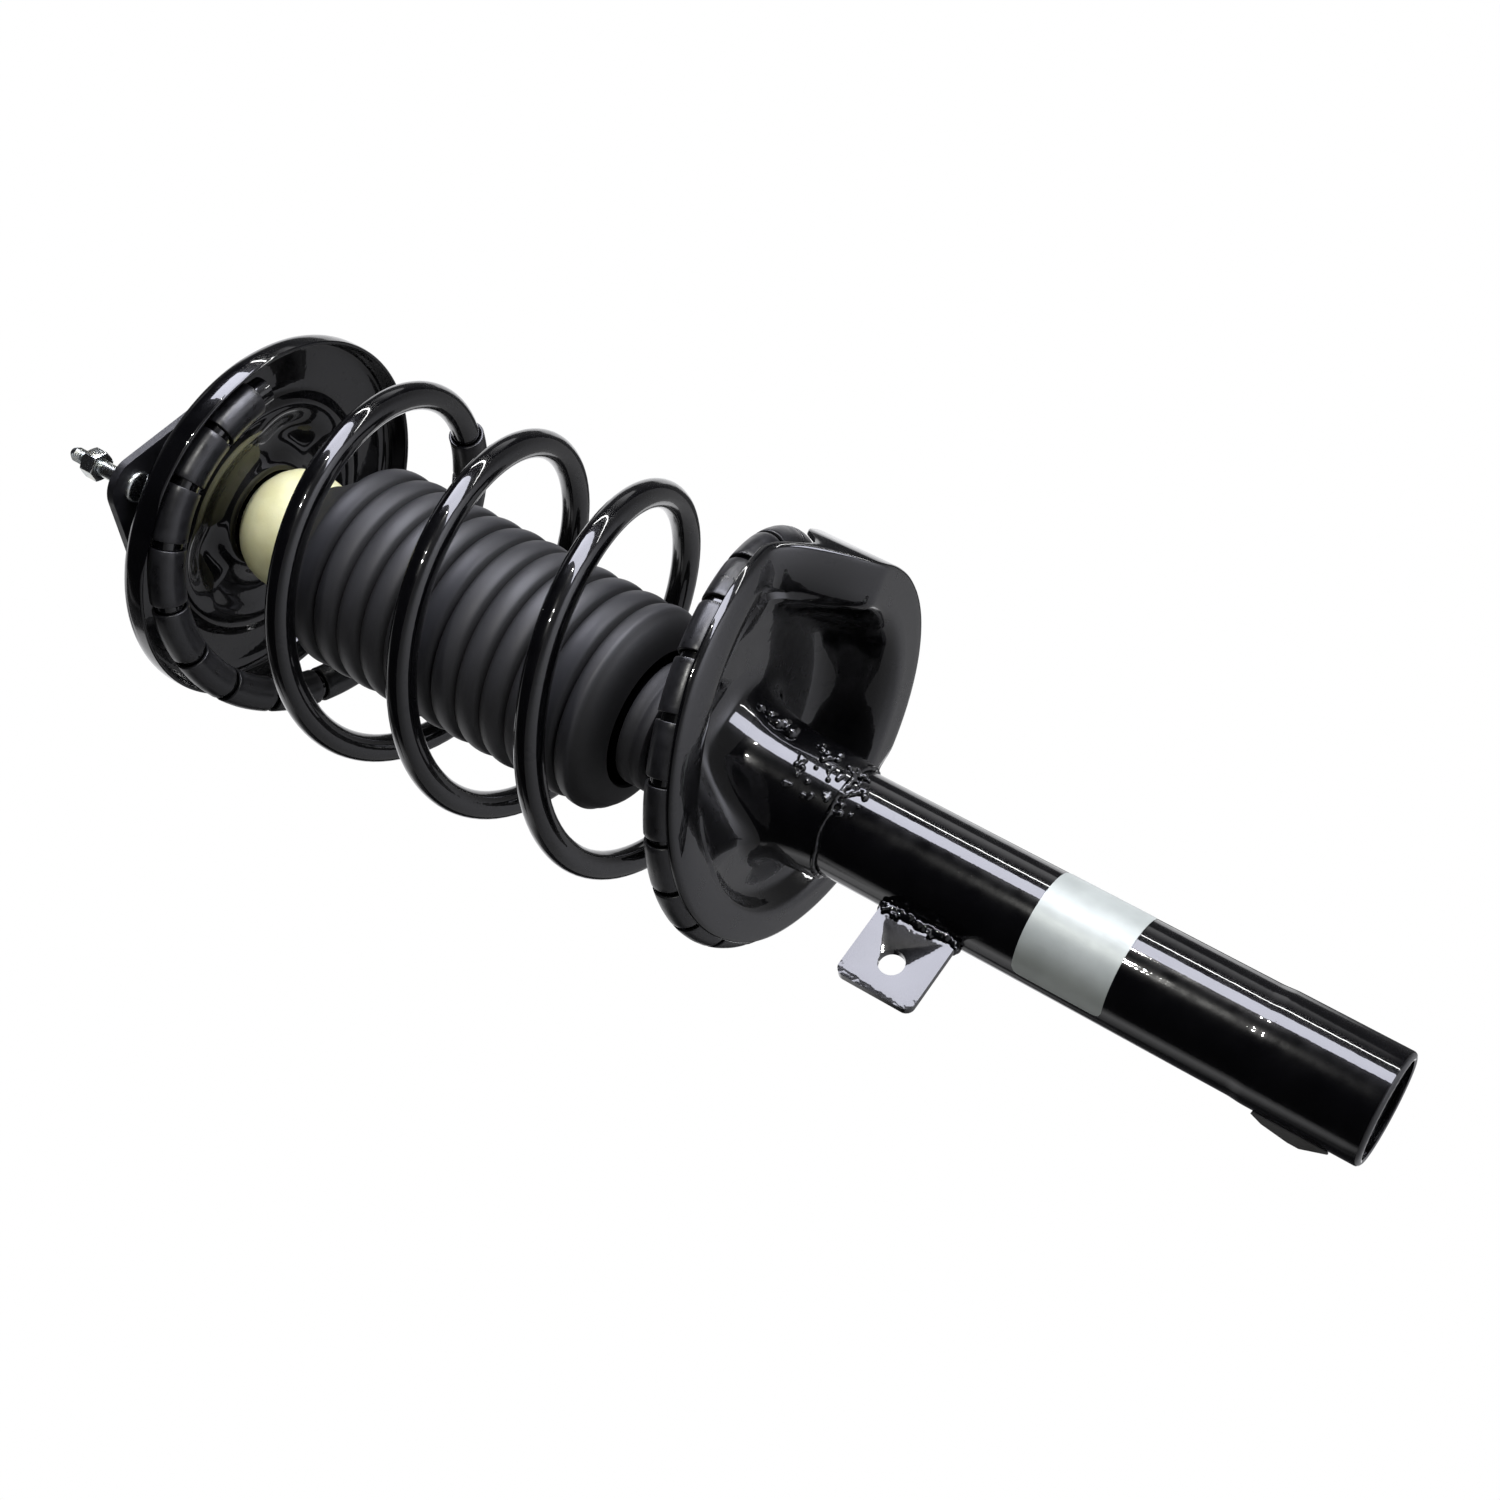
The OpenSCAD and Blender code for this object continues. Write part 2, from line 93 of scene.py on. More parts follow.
def linear(hex_code):
    """An sRGB hex colour as linear RGBA."""
    parts = [int(hex_code[i : i + 2], 16) / 255 for i in (1, 3, 5)]
    return tuple(p / 12.92 if p <= 0.04045 else ((p + 0.055) / 1.055) ** 2.4 for p in parts) + (1.0,)


def add(tree, kind, inputs=None, **settings):
    """Adds one shader node, sets what it is given and links the inputs that are sockets."""
    node = tree.nodes.new("ShaderNode" + kind)
    for key, value in settings.items():
        setattr(node, key, value)
    for key, value in (inputs or {}).items():
        if isinstance(value, bpy.types.NodeSocket):
            tree.links.new(value, node.inputs[key])
        else:
            node.inputs[key].default_value = value
    return node


def start_material(name, **sockets):
    """A material with one Principled shader, and its Object coordinates."""
    material = bpy.data.materials.new(name)
    material.use_nodes = True
    tree = material.node_tree
    shader = tree.nodes["Principled BSDF"]
    for key, value in sockets.items():
        shader.inputs[key.replace("_", " ")].default_value = value
    place = add(tree, "TexCoord").outputs["Object"]
    return material, tree, shader, place


def noise(tree, place, size_mm, detail=2.0, roughness=0.5):
    """Noise whose features are about size_mm across."""
    return add(
        tree,
        "TexNoise",
        {"Vector": place, "Scale": 1 / (size_mm * MM), "Detail": detail, "Roughness": roughness},
    ).outputs["Fac"]


def span(tree, value, low, high, to_low, to_high):
    """Maps a value from one range to another, clamped."""
    return add(
        tree,
        "MapRange",
        {"Value": value, "From Min": low, "From Max": high, "To Min": to_low, "To Max": to_high},
    ).outputs["Result"]


def mix(tree, share, first, second):
    """Mixes two colours."""
    node = add(tree, "Mix", data_type="RGBA")
    tree.links.new(share, node.inputs[0])
    for socket, value in ((node.inputs[6], first), (node.inputs[7], second)):
        if isinstance(value, bpy.types.NodeSocket):
            tree.links.new(value, socket)
        else:
            socket.default_value = value
    return node.outputs[2]


def bump(tree, shader, height, depth_mm, strength=1.0, normal=None):
    """Feeds a height into the shader as a bump of that depth."""
    inputs = {"Height": height, "Distance": depth_mm * MM, "Strength": strength}
    if normal is not None:
        inputs["Normal"] = normal
    node = add(tree, "Bump", inputs)
    tree.links.new(node.outputs["Normal"], shader.inputs["Normal"])
    return node.outputs["Normal"]


# ---------------------------------------------------------------- materials


def gloss_black_paint(name="Gloss black enamel, dipped and baked", peel_mm=3.0, peel_depth=0.02):
    """Black stoving enamel over steel: sharp reflections, a faint orange peel and a few dust nibs."""
    paint = bpy.context.scene.strut_finish
    material, tree, shader, place = start_material(
        name, IOR=1.5, Coat_Weight=1.0, Coat_Roughness=0.03, Coat_IOR=1.5
    )
    shader.inputs["Specular IOR Level"].default_value = 0.1
    flow = span(tree, noise(tree, place, 22), 0.35, 0.65, 0, 1)
    colour = mix(tree, flow, linear(paint.enamel_dark), linear(paint.enamel_light))
    tree.links.new(colour, shader.inputs["Base Color"])
    tree.links.new(span(tree, noise(tree, place, 9, 3), 0.3, 0.7, 0.16, 0.3), shader.inputs["Roughness"])
    peel = noise(tree, place, peel_mm, 1.0)
    nibs = add(tree, "TexVoronoi", {"Vector": place, "Scale": 1 / (7 * MM)}).outputs["Distance"]
    nib = span(tree, nibs, 0.0, 0.05, 1, 0)
    height = add(tree, "Math", {0: peel, 1: nib}, operation="ADD").outputs[0]
    normal = bump(tree, shader, height, peel_depth)
    tree.links.new(normal, shader.inputs["Coat Normal"])
    return material


def satin_black_paint():
    """Electro-dipped black on the pressed mount plate: satin, with a fine even grain and faint rub marks."""
    material, tree, shader, place = start_material("Satin black electro-dip coat", IOR=1.5)
    rubs = span(tree, noise(tree, place, 14, 6, 0.7), 0.4, 0.7, 0, 1)
    colour = mix(tree, rubs, linear("#101012"), linear("#1C1C1F"))
    tree.links.new(colour, shader.inputs["Base Color"])
    tree.links.new(span(tree, rubs, 0, 1, 0.34, 0.5), shader.inputs["Roughness"])
    bump(tree, shader, noise(tree, place, 0.9, 3), 0.03)
    return material


def sleeve_plastic():
    """Black polyolefin tube slid over the wire: satin, extruded, with a fine even grain."""
    material, tree, shader, place = start_material("Black polyolefin sleeve, extruded", IOR=1.49)
    cloud = span(tree, noise(tree, place, 6, 4), 0.3, 0.7, 0, 1)
    colour = mix(tree, cloud, linear("#111112"), linear("#1B1B1D"))
    tree.links.new(colour, shader.inputs["Base Color"])
    tree.links.new(span(tree, cloud, 0, 1, 0.26, 0.4), shader.inputs["Roughness"])
    bump(tree, shader, noise(tree, place, 1.2, 3), 0.03)
    return material


def moulded_rubber(name="Black rubber, moulded", dark="#1B1B1D", light="#29292C", rough=(0.55, 0.72)):
    """Moulded black rubber: matte, a little grey bloom, a fine grain from the mould."""
    material, tree, shader, place = start_material(name, IOR=1.52)
    bloom = span(tree, noise(tree, place, 30, 5, 0.65), 0.35, 0.7, 0, 1)
    colour = mix(tree, bloom, linear(dark), linear(light))
    tree.links.new(colour, shader.inputs["Base Color"])
    tree.links.new(span(tree, bloom, 0, 1, *rough), shader.inputs["Roughness"])
    bump(tree, shader, noise(tree, place, 0.7, 4, 0.6), 0.06)
    return material


def boot_rubber():
    """Blow-moulded boot: dark grey thermoplastic rubber whose fold crests carry a painted highlight, paler than
    its valleys.
    """
    finish = bpy.context.scene.strut_finish
    boot = bpy.context.scene.strut_boot
    material, tree, shader, place = start_material("Dark grey thermoplastic rubber, blow-moulded", IOR=1.5)
    split = add(tree, "SeparateXYZ", {"Vector": place})
    x2 = add(tree, "Math", {0: split.outputs["X"], 1: split.outputs["X"]}, operation="MULTIPLY").outputs[0]
    y2 = add(tree, "Math", {0: split.outputs["Y"], 1: split.outputs["Y"]}, operation="MULTIPLY").outputs[0]
    sum2 = add(tree, "Math", {0: x2, 1: y2}, operation="ADD").outputs[0]
    radius = add(tree, "Math", {0: sum2}, operation="SQRT").outputs[0]
    crest = span(tree, radius, boot.crest_radius - 0.0015, boot.crest_radius, 0, 1)
    bloom = span(tree, noise(tree, place, 24, 5, 0.6), 0.35, 0.7, 0, 1)
    base = mix(tree, bloom, linear(finish.boot_dark), linear(finish.boot_light))
    # painted highlight: the fold crests are mixed towards pale grey, as if they caught the light
    crest_highlight_share = add(tree, "Math", {0: crest, 1: 0.35}, operation="MULTIPLY").outputs[0]
    colour = mix(tree, crest_highlight_share, base, linear("#4A4A4D"))
    tree.links.new(colour, shader.inputs["Base Color"])
    tree.links.new(span(tree, crest, 0, 1, 0.62, 0.5), shader.inputs["Roughness"])
    bump(tree, shader, noise(tree, place, 0.6, 4, 0.6), 0.05)
    return material


def cream_foam():
    """Microcellular polyurethane: cream, skinned by its mould, with tiny pits and soft thin edges."""
    finish = bpy.context.scene.strut_finish
    material, tree, shader, place = start_material(
        "Cream microcellular polyurethane, moulded", IOR=1.5, Subsurface_Weight=0.25, Subsurface_Scale=0.003
    )
    shader.inputs["Subsurface Radius"].default_value = (1.0, 0.8, 0.4)
    cloud = span(tree, noise(tree, place, 12, 4), 0.35, 0.65, 0, 1)
    colour = mix(tree, cloud, linear(finish.foam_light), linear(finish.foam_dark))
    pits = add(tree, "TexVoronoi", {"Vector": place, "Scale": 1 / (1.1 * MM)}).outputs["Distance"]
    pit = span(tree, pits, 0.05, 0.3, 1, 0)
    share = add(tree, "Math", {0: pit, 1: 0.25}, operation="MULTIPLY").outputs[0]
    tree.links.new(mix(tree, share, colour, linear("#B9B683")), shader.inputs["Base Color"])
    tree.links.new(span(tree, pit, 0, 1, 0.45, 0.65), shader.inputs["Roughness"])
    bump(tree, shader, pit, -0.05)
    return material


def turned_metal(name, colour_a, colour_b, rough, grain_mm=0.35):
    """Machined or drawn metal: fine rings round the axis and slight colour change."""
    material, tree, shader, place = start_material(name, Metallic=1.0)
    stretched = add(tree, "Mapping", {"Vector": place, "Scale": (0.15, 0.15, 1)}).outputs["Vector"]
    rings = noise(tree, stretched, grain_mm, 3, 0.6)
    cloud = span(tree, noise(tree, place, 8, 4), 0.35, 0.65, 0, 1)
    tree.links.new(mix(tree, cloud, linear(colour_a), linear(colour_b)), shader.inputs["Base Color"])
    tree.links.new(span(tree, rings, 0.3, 0.7, *rough), shader.inputs["Roughness"])
    bump(tree, shader, rings, 0.006)
    return material


def zinc_plate():
    """Blue-passivated zinc on small steel parts: bright, cool, with a faint yellow and violet drift."""
    material, tree, shader, place = start_material("Zinc plate, blue passivated", Metallic=1.0)
    drift = span(tree, noise(tree, place, 4, 3), 0.3, 0.7, 0, 1)
    base = mix(tree, drift, linear("#C9D2D8"), linear("#D8D6C6"))
    frost = span(tree, noise(tree, place, 0.8, 4, 0.65), 0.45, 0.7, 0, 1)
    tree.links.new(mix(tree, frost, base, linear("#A9B0B4")), shader.inputs["Base Color"])
    tree.links.new(span(tree, frost, 0, 1, 0.2, 0.36), shader.inputs["Roughness"])
    bump(tree, shader, noise(tree, place, 0.5, 3), 0.01)
    return material


def porous_iron():
    """Sintered iron: dull grey with fine dark pores."""
    material, tree, shader, place = start_material("Sintered iron, pressed", Metallic=1.0)
    pores = add(tree, "TexVoronoi", {"Vector": place, "Scale": 1 / (0.6 * MM)}).outputs["Distance"]
    pore = span(tree, pores, 0.1, 0.35, 1, 0)
    tree.links.new(mix(tree, pore, linear("#7B7B7A"), linear("#4A4A4A")), shader.inputs["Base Color"])
    tree.links.new(span(tree, pore, 0, 1, 0.5, 0.75), shader.inputs["Roughness"])
    bump(tree, shader, pore, -0.03)
    return material


def silver_film():
    """Blank label: silver-grey polyester film with a satin face and a few handling marks."""
    finish = bpy.context.scene.strut_finish
    material, tree, shader, place = start_material(
        "Silver polyester film, printed face", IOR=1.5, Metallic=0.15
    )
    flat = add(tree, "Mapping", {"Vector": place, "Scale": (1, 1, 0.12)}).outputs["Vector"]
    grain = noise(tree, flat, 0.5, 3)
    cloud = span(tree, noise(tree, place, 16, 3), 0.3, 0.7, 0, 1)
    colour = mix(tree, cloud, linear(finish.film_light), linear(finish.film_dark))
    scuffs = span(tree, noise(tree, place, 3, 6, 0.75), 0.66, 0.74, 0, 0.35)
    tree.links.new(mix(tree, scuffs, colour, linear("#8E9390")), shader.inputs["Base Color"])
    tree.links.new(span(tree, grain, 0.3, 0.7, 0.36, 0.46), shader.inputs["Roughness"])
    bump(tree, shader, grain, 0.004)
    return material


def pale_floor():
    """Matt white studio paper with a barely visible tooth."""
    material, tree, shader, place = start_material("White studio paper", IOR=1.45)
    tooth = noise(tree, place, 4, 4)
    tree.links.new(mix(tree, tooth, linear("#F4F4F4"), linear("#FBFBFB")), shader.inputs["Base Color"])
    tree.links.new(span(tree, tooth, 0.3, 0.7, 0.85, 0.95), shader.inputs["Roughness"])
    return material


MATERIALS = {}


def finish_of(maker, *settings):
    """Makes each material once."""
    key = (maker.__name__, *settings)
    if key not in MATERIALS:
        MATERIALS[key] = maker(*settings)
    return MATERIALS[key]


# ---------------------------------------------------------------- modelling helpers


def clear():
    """Leaves edit mode and deselects everything."""
    if bpy.context.object and bpy.context.object.mode != "OBJECT":
        bpy.ops.object.mode_set(mode="OBJECT")
    bpy.ops.object.select_all(action="DESELECT")


def choose(*objects):
    """Selects these objects only, the first one active."""
    clear()
    for obj in objects:
        obj.select_set(True)
    bpy.context.view_layer.objects.active = objects[0]


def apply_modifier(obj, kind, **settings):
    """Adds a modifier, sets it and applies it."""
    choose(obj)
    bpy.ops.object.modifier_add(type=kind)
    modifier = obj.modifiers[-1]
    for key, value in settings.items():
        setattr(modifier, key, value)
    bpy.ops.object.modifier_apply(modifier=modifier.name)


def round_edges(obj, width_mm, segments=3, angle=30):
    """Rounds the edges that are sharper than an angle."""
    apply_modifier(
        obj,
        "BEVEL",
        width=width_mm * MM,
        segments=segments,
        limit_method="ANGLE",
        angle_limit=math.radians(angle),
        harden_normals=False,
    )


def cut(obj, tool, operation="DIFFERENCE"):
    """Cuts obj with a tool, or joins or intersects them, and removes the tool."""
    apply_modifier(obj, "BOOLEAN", object=tool, operation=operation, solver="EXACT")
    bpy.data.objects.remove(tool)


def face_outwards(obj):
    """Turns every face of a mesh outwards."""
    choose(obj)
    bpy.ops.object.mode_set(mode="EDIT")
    bpy.ops.mesh.select_all(action="SELECT")
    bpy.ops.mesh.normals_make_consistent(inside=False)
    bpy.ops.object.mode_set(mode="OBJECT")


def join(name, objects):
    """Joins several meshes into one."""
    choose(*objects)
    if len(objects) > 1:
        bpy.ops.object.join()
    joined = bpy.context.object
    joined.name = joined.data.name = name
    return joined


def settle(obj, name, angle=35):
    """Puts the object's place into its mesh, names it and shades it smooth below an angle."""
    choose(obj)
    bpy.ops.object.transform_apply(location=True, rotation=True, scale=True)
    bpy.ops.object.shade_smooth_by_angle(angle=math.radians(angle))
    obj.name = obj.data.name = name
    return obj


def finish_piece(obj, body, material, slot, *nodes):
    """Gives a piece its material, the body it rides on and the nodes it stands for; the slot is not used."""
    obj.data.materials.clear()
    obj.data.materials.append(material)
    if body:
        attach(obj, body)
    if nodes:
        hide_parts(*nodes)
    return obj


def enamel_piece(obj, body, *nodes):
    """Finishes a piece in the gloss black enamel of the stampings and the tube."""
    return finish_piece(obj, body, finish_of(gloss_black_paint), "gloss_black_paint", *nodes)


# the radius in mm that stands for the axis in an outline, so that a turned piece can be scaled
POLE = 0.001


def turned(name, outline, segments=128, centre=(0, 0), angle=35, closed=True):
    """A turned piece: a circle extruded from point to point of an outline of (radius, height) in mm."""
    points = [(max(r, POLE), z) for r, z in outline]
    if closed and outline[0][0] > 0:
        points.append(points[0])
    clear()
    bpy.ops.mesh.primitive_circle_add(
        vertices=segments,
        radius=points[0][0] * MM,
        location=(centre[0] * MM, centre[1] * MM, points[0][1] * MM),
    )
    obj = bpy.context.object
    bpy.ops.object.transform_apply(location=True, rotation=True, scale=True)
    bpy.ops.object.mode_set(mode="EDIT")
    bpy.ops.mesh.select_all(action="SELECT")
    for (r0, z0), (r1, z1) in zip(points, points[1:]):
        bpy.ops.mesh.extrude_edges_move(TRANSFORM_OT_translate={"value": (0, 0, (z1 - z0) * MM)})
        bpy.ops.transform.resize(
            value=(r1 / r0, r1 / r0, 1),
            center_override=(centre[0] * MM, centre[1] * MM, z1 * MM),
        )
    bpy.ops.mesh.select_all(action="SELECT")
    bpy.ops.mesh.remove_doubles(threshold=0.004 * MM)
    bpy.ops.mesh.normals_make_consistent(inside=False)
    bpy.ops.object.mode_set(mode="OBJECT")
    return settle(obj, name, angle)


def arc(centre_r, centre_z, radius, start, end, steps=6):
    """Points of an arc of an outline, in degrees from +r towards +z."""
    angles = [math.radians(start + (end - start) * i / steps) for i in range(steps + 1)]
    return [(centre_r + radius * math.cos(a), centre_z + radius * math.sin(a)) for a in angles]


def prism(name, corners, thickness, matrix):
    """A flat plate: a filled outline extruded by a thickness, then placed by a matrix; corners in mm."""
    clear()
    bpy.ops.mesh.primitive_circle_add(vertices=len(corners), radius=MM, fill_type="NGON")
    obj = bpy.context.object
    for vertex, (x, y) in zip(obj.data.vertices, corners):
        vertex.co = (x * MM, y * MM, -thickness / 2 * MM)
    bpy.ops.object.mode_set(mode="EDIT")
    bpy.ops.mesh.select_all(action="SELECT")
    bpy.ops.mesh.extrude_region_move(TRANSFORM_OT_translate={"value": (0, 0, thickness * MM)})
    bpy.ops.mesh.select_all(action="SELECT")
    bpy.ops.mesh.normals_make_consistent(inside=False)
    bpy.ops.object.mode_set(mode="OBJECT")
    obj.data.transform(matrix)
    return settle(obj, name)


def rounded_corners(corners, radius, steps=5):
    """Replaces each corner of a convex outline by an arc."""
    result = []
    count = len(corners)
    for i, corner in enumerate(corners):
        here = Vector(corner)
        before = (Vector(corners[i - 1]) - here).normalized()
        after = (Vector(corners[(i + 1) % count]) - here).normalized()
        half = before.angle(after) / 2
        reach = radius / math.tan(half)
        start = here + before * reach
        end = here + after * reach
        centre = here + (before + after).normalized() * (radius / math.sin(half))
        for k in range(steps + 1):
            chord = start.lerp(end, k / steps) - centre
            result.append(tuple(centre + chord.normalized() * radius))
    return result


def swept(name, points, radius_mm, sides=24, caps=True):
    """A round bar along a row of points, in mm."""
    clear()
    bpy.ops.curve.primitive_bezier_curve_add()
    curve = bpy.context.object
    curve.data.splines.clear()
    spline = curve.data.splines.new("POLY")
    spline.points.add(len(points) - 1)
    for target, point in zip(spline.points, points):
        target.co = (*[c * MM for c in point], 1)
    curve.data.twist_mode = "MINIMUM"
    curve.data.bevel_depth = radius_mm * MM
    curve.data.bevel_resolution = max(0, (sides - 4) // 2)
    curve.data.use_fill_caps = caps
    bpy.ops.object.convert(target="MESH")
    obj = bpy.context.object
    bpy.ops.object.mode_set(mode="EDIT")
    bpy.ops.mesh.select_all(action="SELECT")
    bpy.ops.mesh.remove_doubles(threshold=0.002 * MM)
    if caps:
        bpy.ops.mesh.normals_make_consistent(inside=False)
    bpy.ops.object.mode_set(mode="OBJECT")
    return settle(obj, name, 50)


def lumps(name, spots, voxel_mm, smoothing=4):
    """Weld metal: overlapping balls remeshed into one lumpy skin; each spot is (point, radius) in mm."""
    balls = []
    for point, radius in spots:
        clear()
        bpy.ops.mesh.primitive_ico_sphere_add(
            subdivisions=2, radius=radius * MM, location=[c * MM for c in point]
        )
        balls.append(bpy.context.object)
    bead = join(name, balls)
    settle(bead, name)
    apply_modifier(bead, "REMESH", mode="VOXEL", voxel_size=voxel_mm * MM, use_smooth_shade=True)
    apply_modifier(bead, "SMOOTH", iterations=smoothing, factor=0.5)
    return settle(bead, name, 80)


def helical_thread(name, radius, pitch, z0, z1, depth=None, segments=40):
    """A real thread: one saw tooth turned round the axis and carried up by the Screw modifier."""
    depth = depth or 0.6 * pitch
    clear()
    bpy.ops.mesh.primitive_circle_add(vertices=5, radius=MM)
    obj = bpy.context.object
    tooth = [(radius - depth, 0), (radius, pitch * 0.42), (radius, pitch * 0.58), (radius - depth, pitch)]
    bpy.ops.object.mode_set(mode="EDIT")
    bpy.ops.mesh.select_all(action="SELECT")
    bpy.ops.mesh.delete(type="VERT")
    bpy.ops.object.mode_set(mode="OBJECT")
    obj.data.vertices.add(len(tooth))
    for vertex, (r, z) in zip(obj.data.vertices, tooth):
        vertex.co = (r * MM, 0, (z0 + z) * MM)
    obj.data.edges.add(len(tooth) - 1)
    for i, edge in enumerate(obj.data.edges):
        edge.vertices = (i, i + 1)
    turns = max(1, int((z1 - z0) / pitch) - 1)
    apply_modifier(
        obj,
        "SCREW",
        angle=math.radians(360),
        screw_offset=pitch * MM,
        iterations=turns,
        steps=segments,
        render_steps=segments,
        use_merge_vertices=True,
        merge_threshold=0.002 * MM,
    )
    return settle(obj, name, 40)


def at_azimuth(azimuth, radius=0.0, z=0.0):
    """A matrix that turns about the axis and moves out along that azimuth, in mm."""
    turn = Matrix.Rotation(math.radians(azimuth), 4, "Z")
    return turn @ Matrix.Translation((radius * MM, 0, z * MM))


def placed_copy(obj, name, matrix):
    """A copy with its own mesh, placed by a matrix that goes into the mesh."""
    copy = obj.copy()
    copy.data = obj.data.copy()
    copy.data.transform(matrix)
    bpy.context.scene.collection.objects.link(copy)
    copy.name = copy.data.name = name
    return copy


# ---------------------------------------------------------------- sizes and colours


class StrutFinish(bpy.types.PropertyGroup):
    enamel_dark: bpy.props.StringProperty(
        name="Enamel, dark", description="Darker colour of the gloss enamel", default="#030304"
    )
    enamel_light: bpy.props.StringProperty(
        name="Enamel, light", description="Lighter colour of the gloss enamel", default="#060607"
    )
    boot_dark: bpy.props.StringProperty(
        name="Boot, dark", description="Darker colour of the boot", default="#0B0B0C"
    )
    boot_light: bpy.props.StringProperty(
        name="Boot, light", description="Lighter colour of the boot", default="#121213"
    )
    foam_light: bpy.props.StringProperty(
        name="Foam, light", description="Lighter colour of the bump stop", default="#E2E0B4"
    )
    foam_dark: bpy.props.StringProperty(
        name="Foam, dark", description="Darker colour of the bump stop", default="#D6D3A4"
    )
    film_light: bpy.props.StringProperty(
        name="Label, light", description="Lighter colour of the label", default="#9FA49F"
    )
    film_dark: bpy.props.StringProperty(
        name="Label, dark", description="Darker colour of the label", default="#929792"
    )


class StrutSpring(bpy.types.PropertyGroup):
    wire_radius: bpy.props.FloatProperty(
        name="Wire radius", description="Radius of the spring wire", default=0.0069, unit="LENGTH"
    )
    coil_radius: bpy.props.FloatProperty(
        name="Coil radius", description="Mean radius of the coils", default=0.0849, unit="LENGTH"
    )
    end_radius: bpy.props.FloatProperty(
        name="End coil radius", description="Mean radius of the upper end coil", default=0.0775, unit="LENGTH"
    )
    pitch: bpy.props.FloatProperty(
        name="Pitch", description="Height lost in one turn", default=0.06845, unit="LENGTH"
    )
    zero_height: bpy.props.FloatProperty(
        name="Start height", description="Height of the coil at turn zero", default=0.5576, unit="LENGTH"
    )
    first_turn: bpy.props.FloatProperty(name="First turn", description="Turn of the upper end", default=-0.65)
    last_turn: bpy.props.FloatProperty(name="Last turn", description="Turn of the lower end", default=3.88)
    sleeve_radius: bpy.props.FloatProperty(
        name="Sleeve radius", description="Outside radius of the sleeves", default=0.0089, unit="LENGTH"
    )
    sleeve_count: bpy.props.IntProperty(name="Sleeves", description="Sleeves on each end", default=14)


class StrutBoot(bpy.types.PropertyGroup):
    crest_radius: bpy.props.FloatProperty(
        name="Crest radius", description="Largest radius of the folds", default=0.0515, unit="LENGTH"
    )
    valley_radius: bpy.props.FloatProperty(
        name="Valley radius", description="Smallest radius of the folds", default=0.0468, unit="LENGTH"
    )
    fold_pitch: bpy.props.FloatProperty(
        name="Fold pitch", description="Height of one fold", default=0.0144, unit="LENGTH"
    )
    folds: bpy.props.IntProperty(name="Folds", description="Number of folds", default=12)
    wall: bpy.props.FloatProperty(
        name="Wall", description="Thickness of the boot's wall", default=0.0018, unit="LENGTH"
    )


class StrutBracket(bpy.types.PropertyGroup):
    azimuth: bpy.props.FloatProperty(
        name="Azimuth", description="Direction of the bracket round the tube", default=math.radians(205),
        subtype="ANGLE",
    )
    hole_radius: bpy.props.FloatProperty(
        name="Hole radius", description="Radius of the bracket's hole", default=0.006, unit="LENGTH"
    )
    hole_reach: bpy.props.FloatProperty(
        name="Hole reach", description="Distance of the hole from the axis", default=0.049, unit="LENGTH"
    )


class StrutMount(bpy.types.PropertyGroup):
    stud_azimuth: bpy.props.FloatProperty(
        name="Stud azimuth", description="Direction of the first stud", default=math.radians(-102),
        subtype="ANGLE",
    )
    stud_circle: bpy.props.FloatProperty(
        name="Stud circle", description="Radius of the circle that the studs stand on", default=0.083,
        unit="LENGTH",
    )


# ---------------------------------------------------------------- spring path

PHASE = 76.4
LEAN_AZIMUTH = -103.6
SEAT_OFFSET = 14.2
TOP_HEIGHT = 600
UPPER_SLEEVES = (-0.64, 0.15)
LOWER_SLEEVES = (3.19, 3.86)

# the lower seat's heights in mm, and the thickness of both seats' sheet
HUB_HEIGHT = 261
DEEP_HEIGHT = 290
DISH_HEIGHT = 326
WALL_HEIGHT = 331
SHEET = 2.6


def neck_radius(share):
    """Radius in mm of the lower seat's neck, at a share of the way from the weld to the dish."""
    return 28.2 + 3.2 * share + 8 * share**6


def coil_point(turn, spread=0.0):
    """The wire's centre at a turn, in mm, or a point further out from the coil's axis."""
    spring = bpy.context.scene.strut_spring
    share = (turn + 0.9) / 4.4
    azimuth = PHASE - 360 * turn
    across = spring.coil_radius / MM
    radius = spring.end_radius / MM + (across - spring.end_radius / MM) * smooth(-0.62, -0.38, turn)
    lean = (4.9 - 1.55 * turn) * math.cos(math.radians(azimuth - LEAN_AZIMUTH))
    lean += (0.008 + 0.08 * share) * across * math.cos(math.radians(azimuth))
    height = spring.zero_height / MM - spring.pitch / MM * turn + lean
    below = TOP_HEIGHT - height
    if below < 4:
        height = TOP_HEIGHT - 4 * math.exp((below - 4) / 4)
    a = math.radians(azimuth)
    return Vector(
        (
            SEAT_OFFSET * share + (radius + spread) * math.cos(a),
            (radius + spread) * math.sin(a),
            height,
        )
    )


def ramp_height(azimuth):
    """Height of the lower seat's ramp under the wire at an azimuth in degrees, in mm."""
    spring = bpy.context.scene.strut_spring

    def under(angle):
        turn = 3 + (PHASE - angle + (360 if angle > PHASE else 0)) / 360
        return coil_point(turn).z - spring.sleeve_radius / MM - 0.5

    azimuth = (azimuth + 180) % 360 - 180
    step = (77, 94)
    if azimuth < step[0] or azimuth > step[1]:
        return under(azimuth)
    s = smooth(*step, azimuth)
    return under(step[0] - 0.7) * (1 - s) + under(step[1] + 0.1) * s


# ---------------------------------------------------------------- operators


class StrutOperator(bpy.types.Operator):
    """Shared part of the strut's operators"""

    bl_idname = "strut.base"
    bl_label = "Strut piece"
    bl_options = {"REGISTER", "UNDO"}

    def execute(self, context):
        self.build(context.scene)
        return {"FINISHED"}


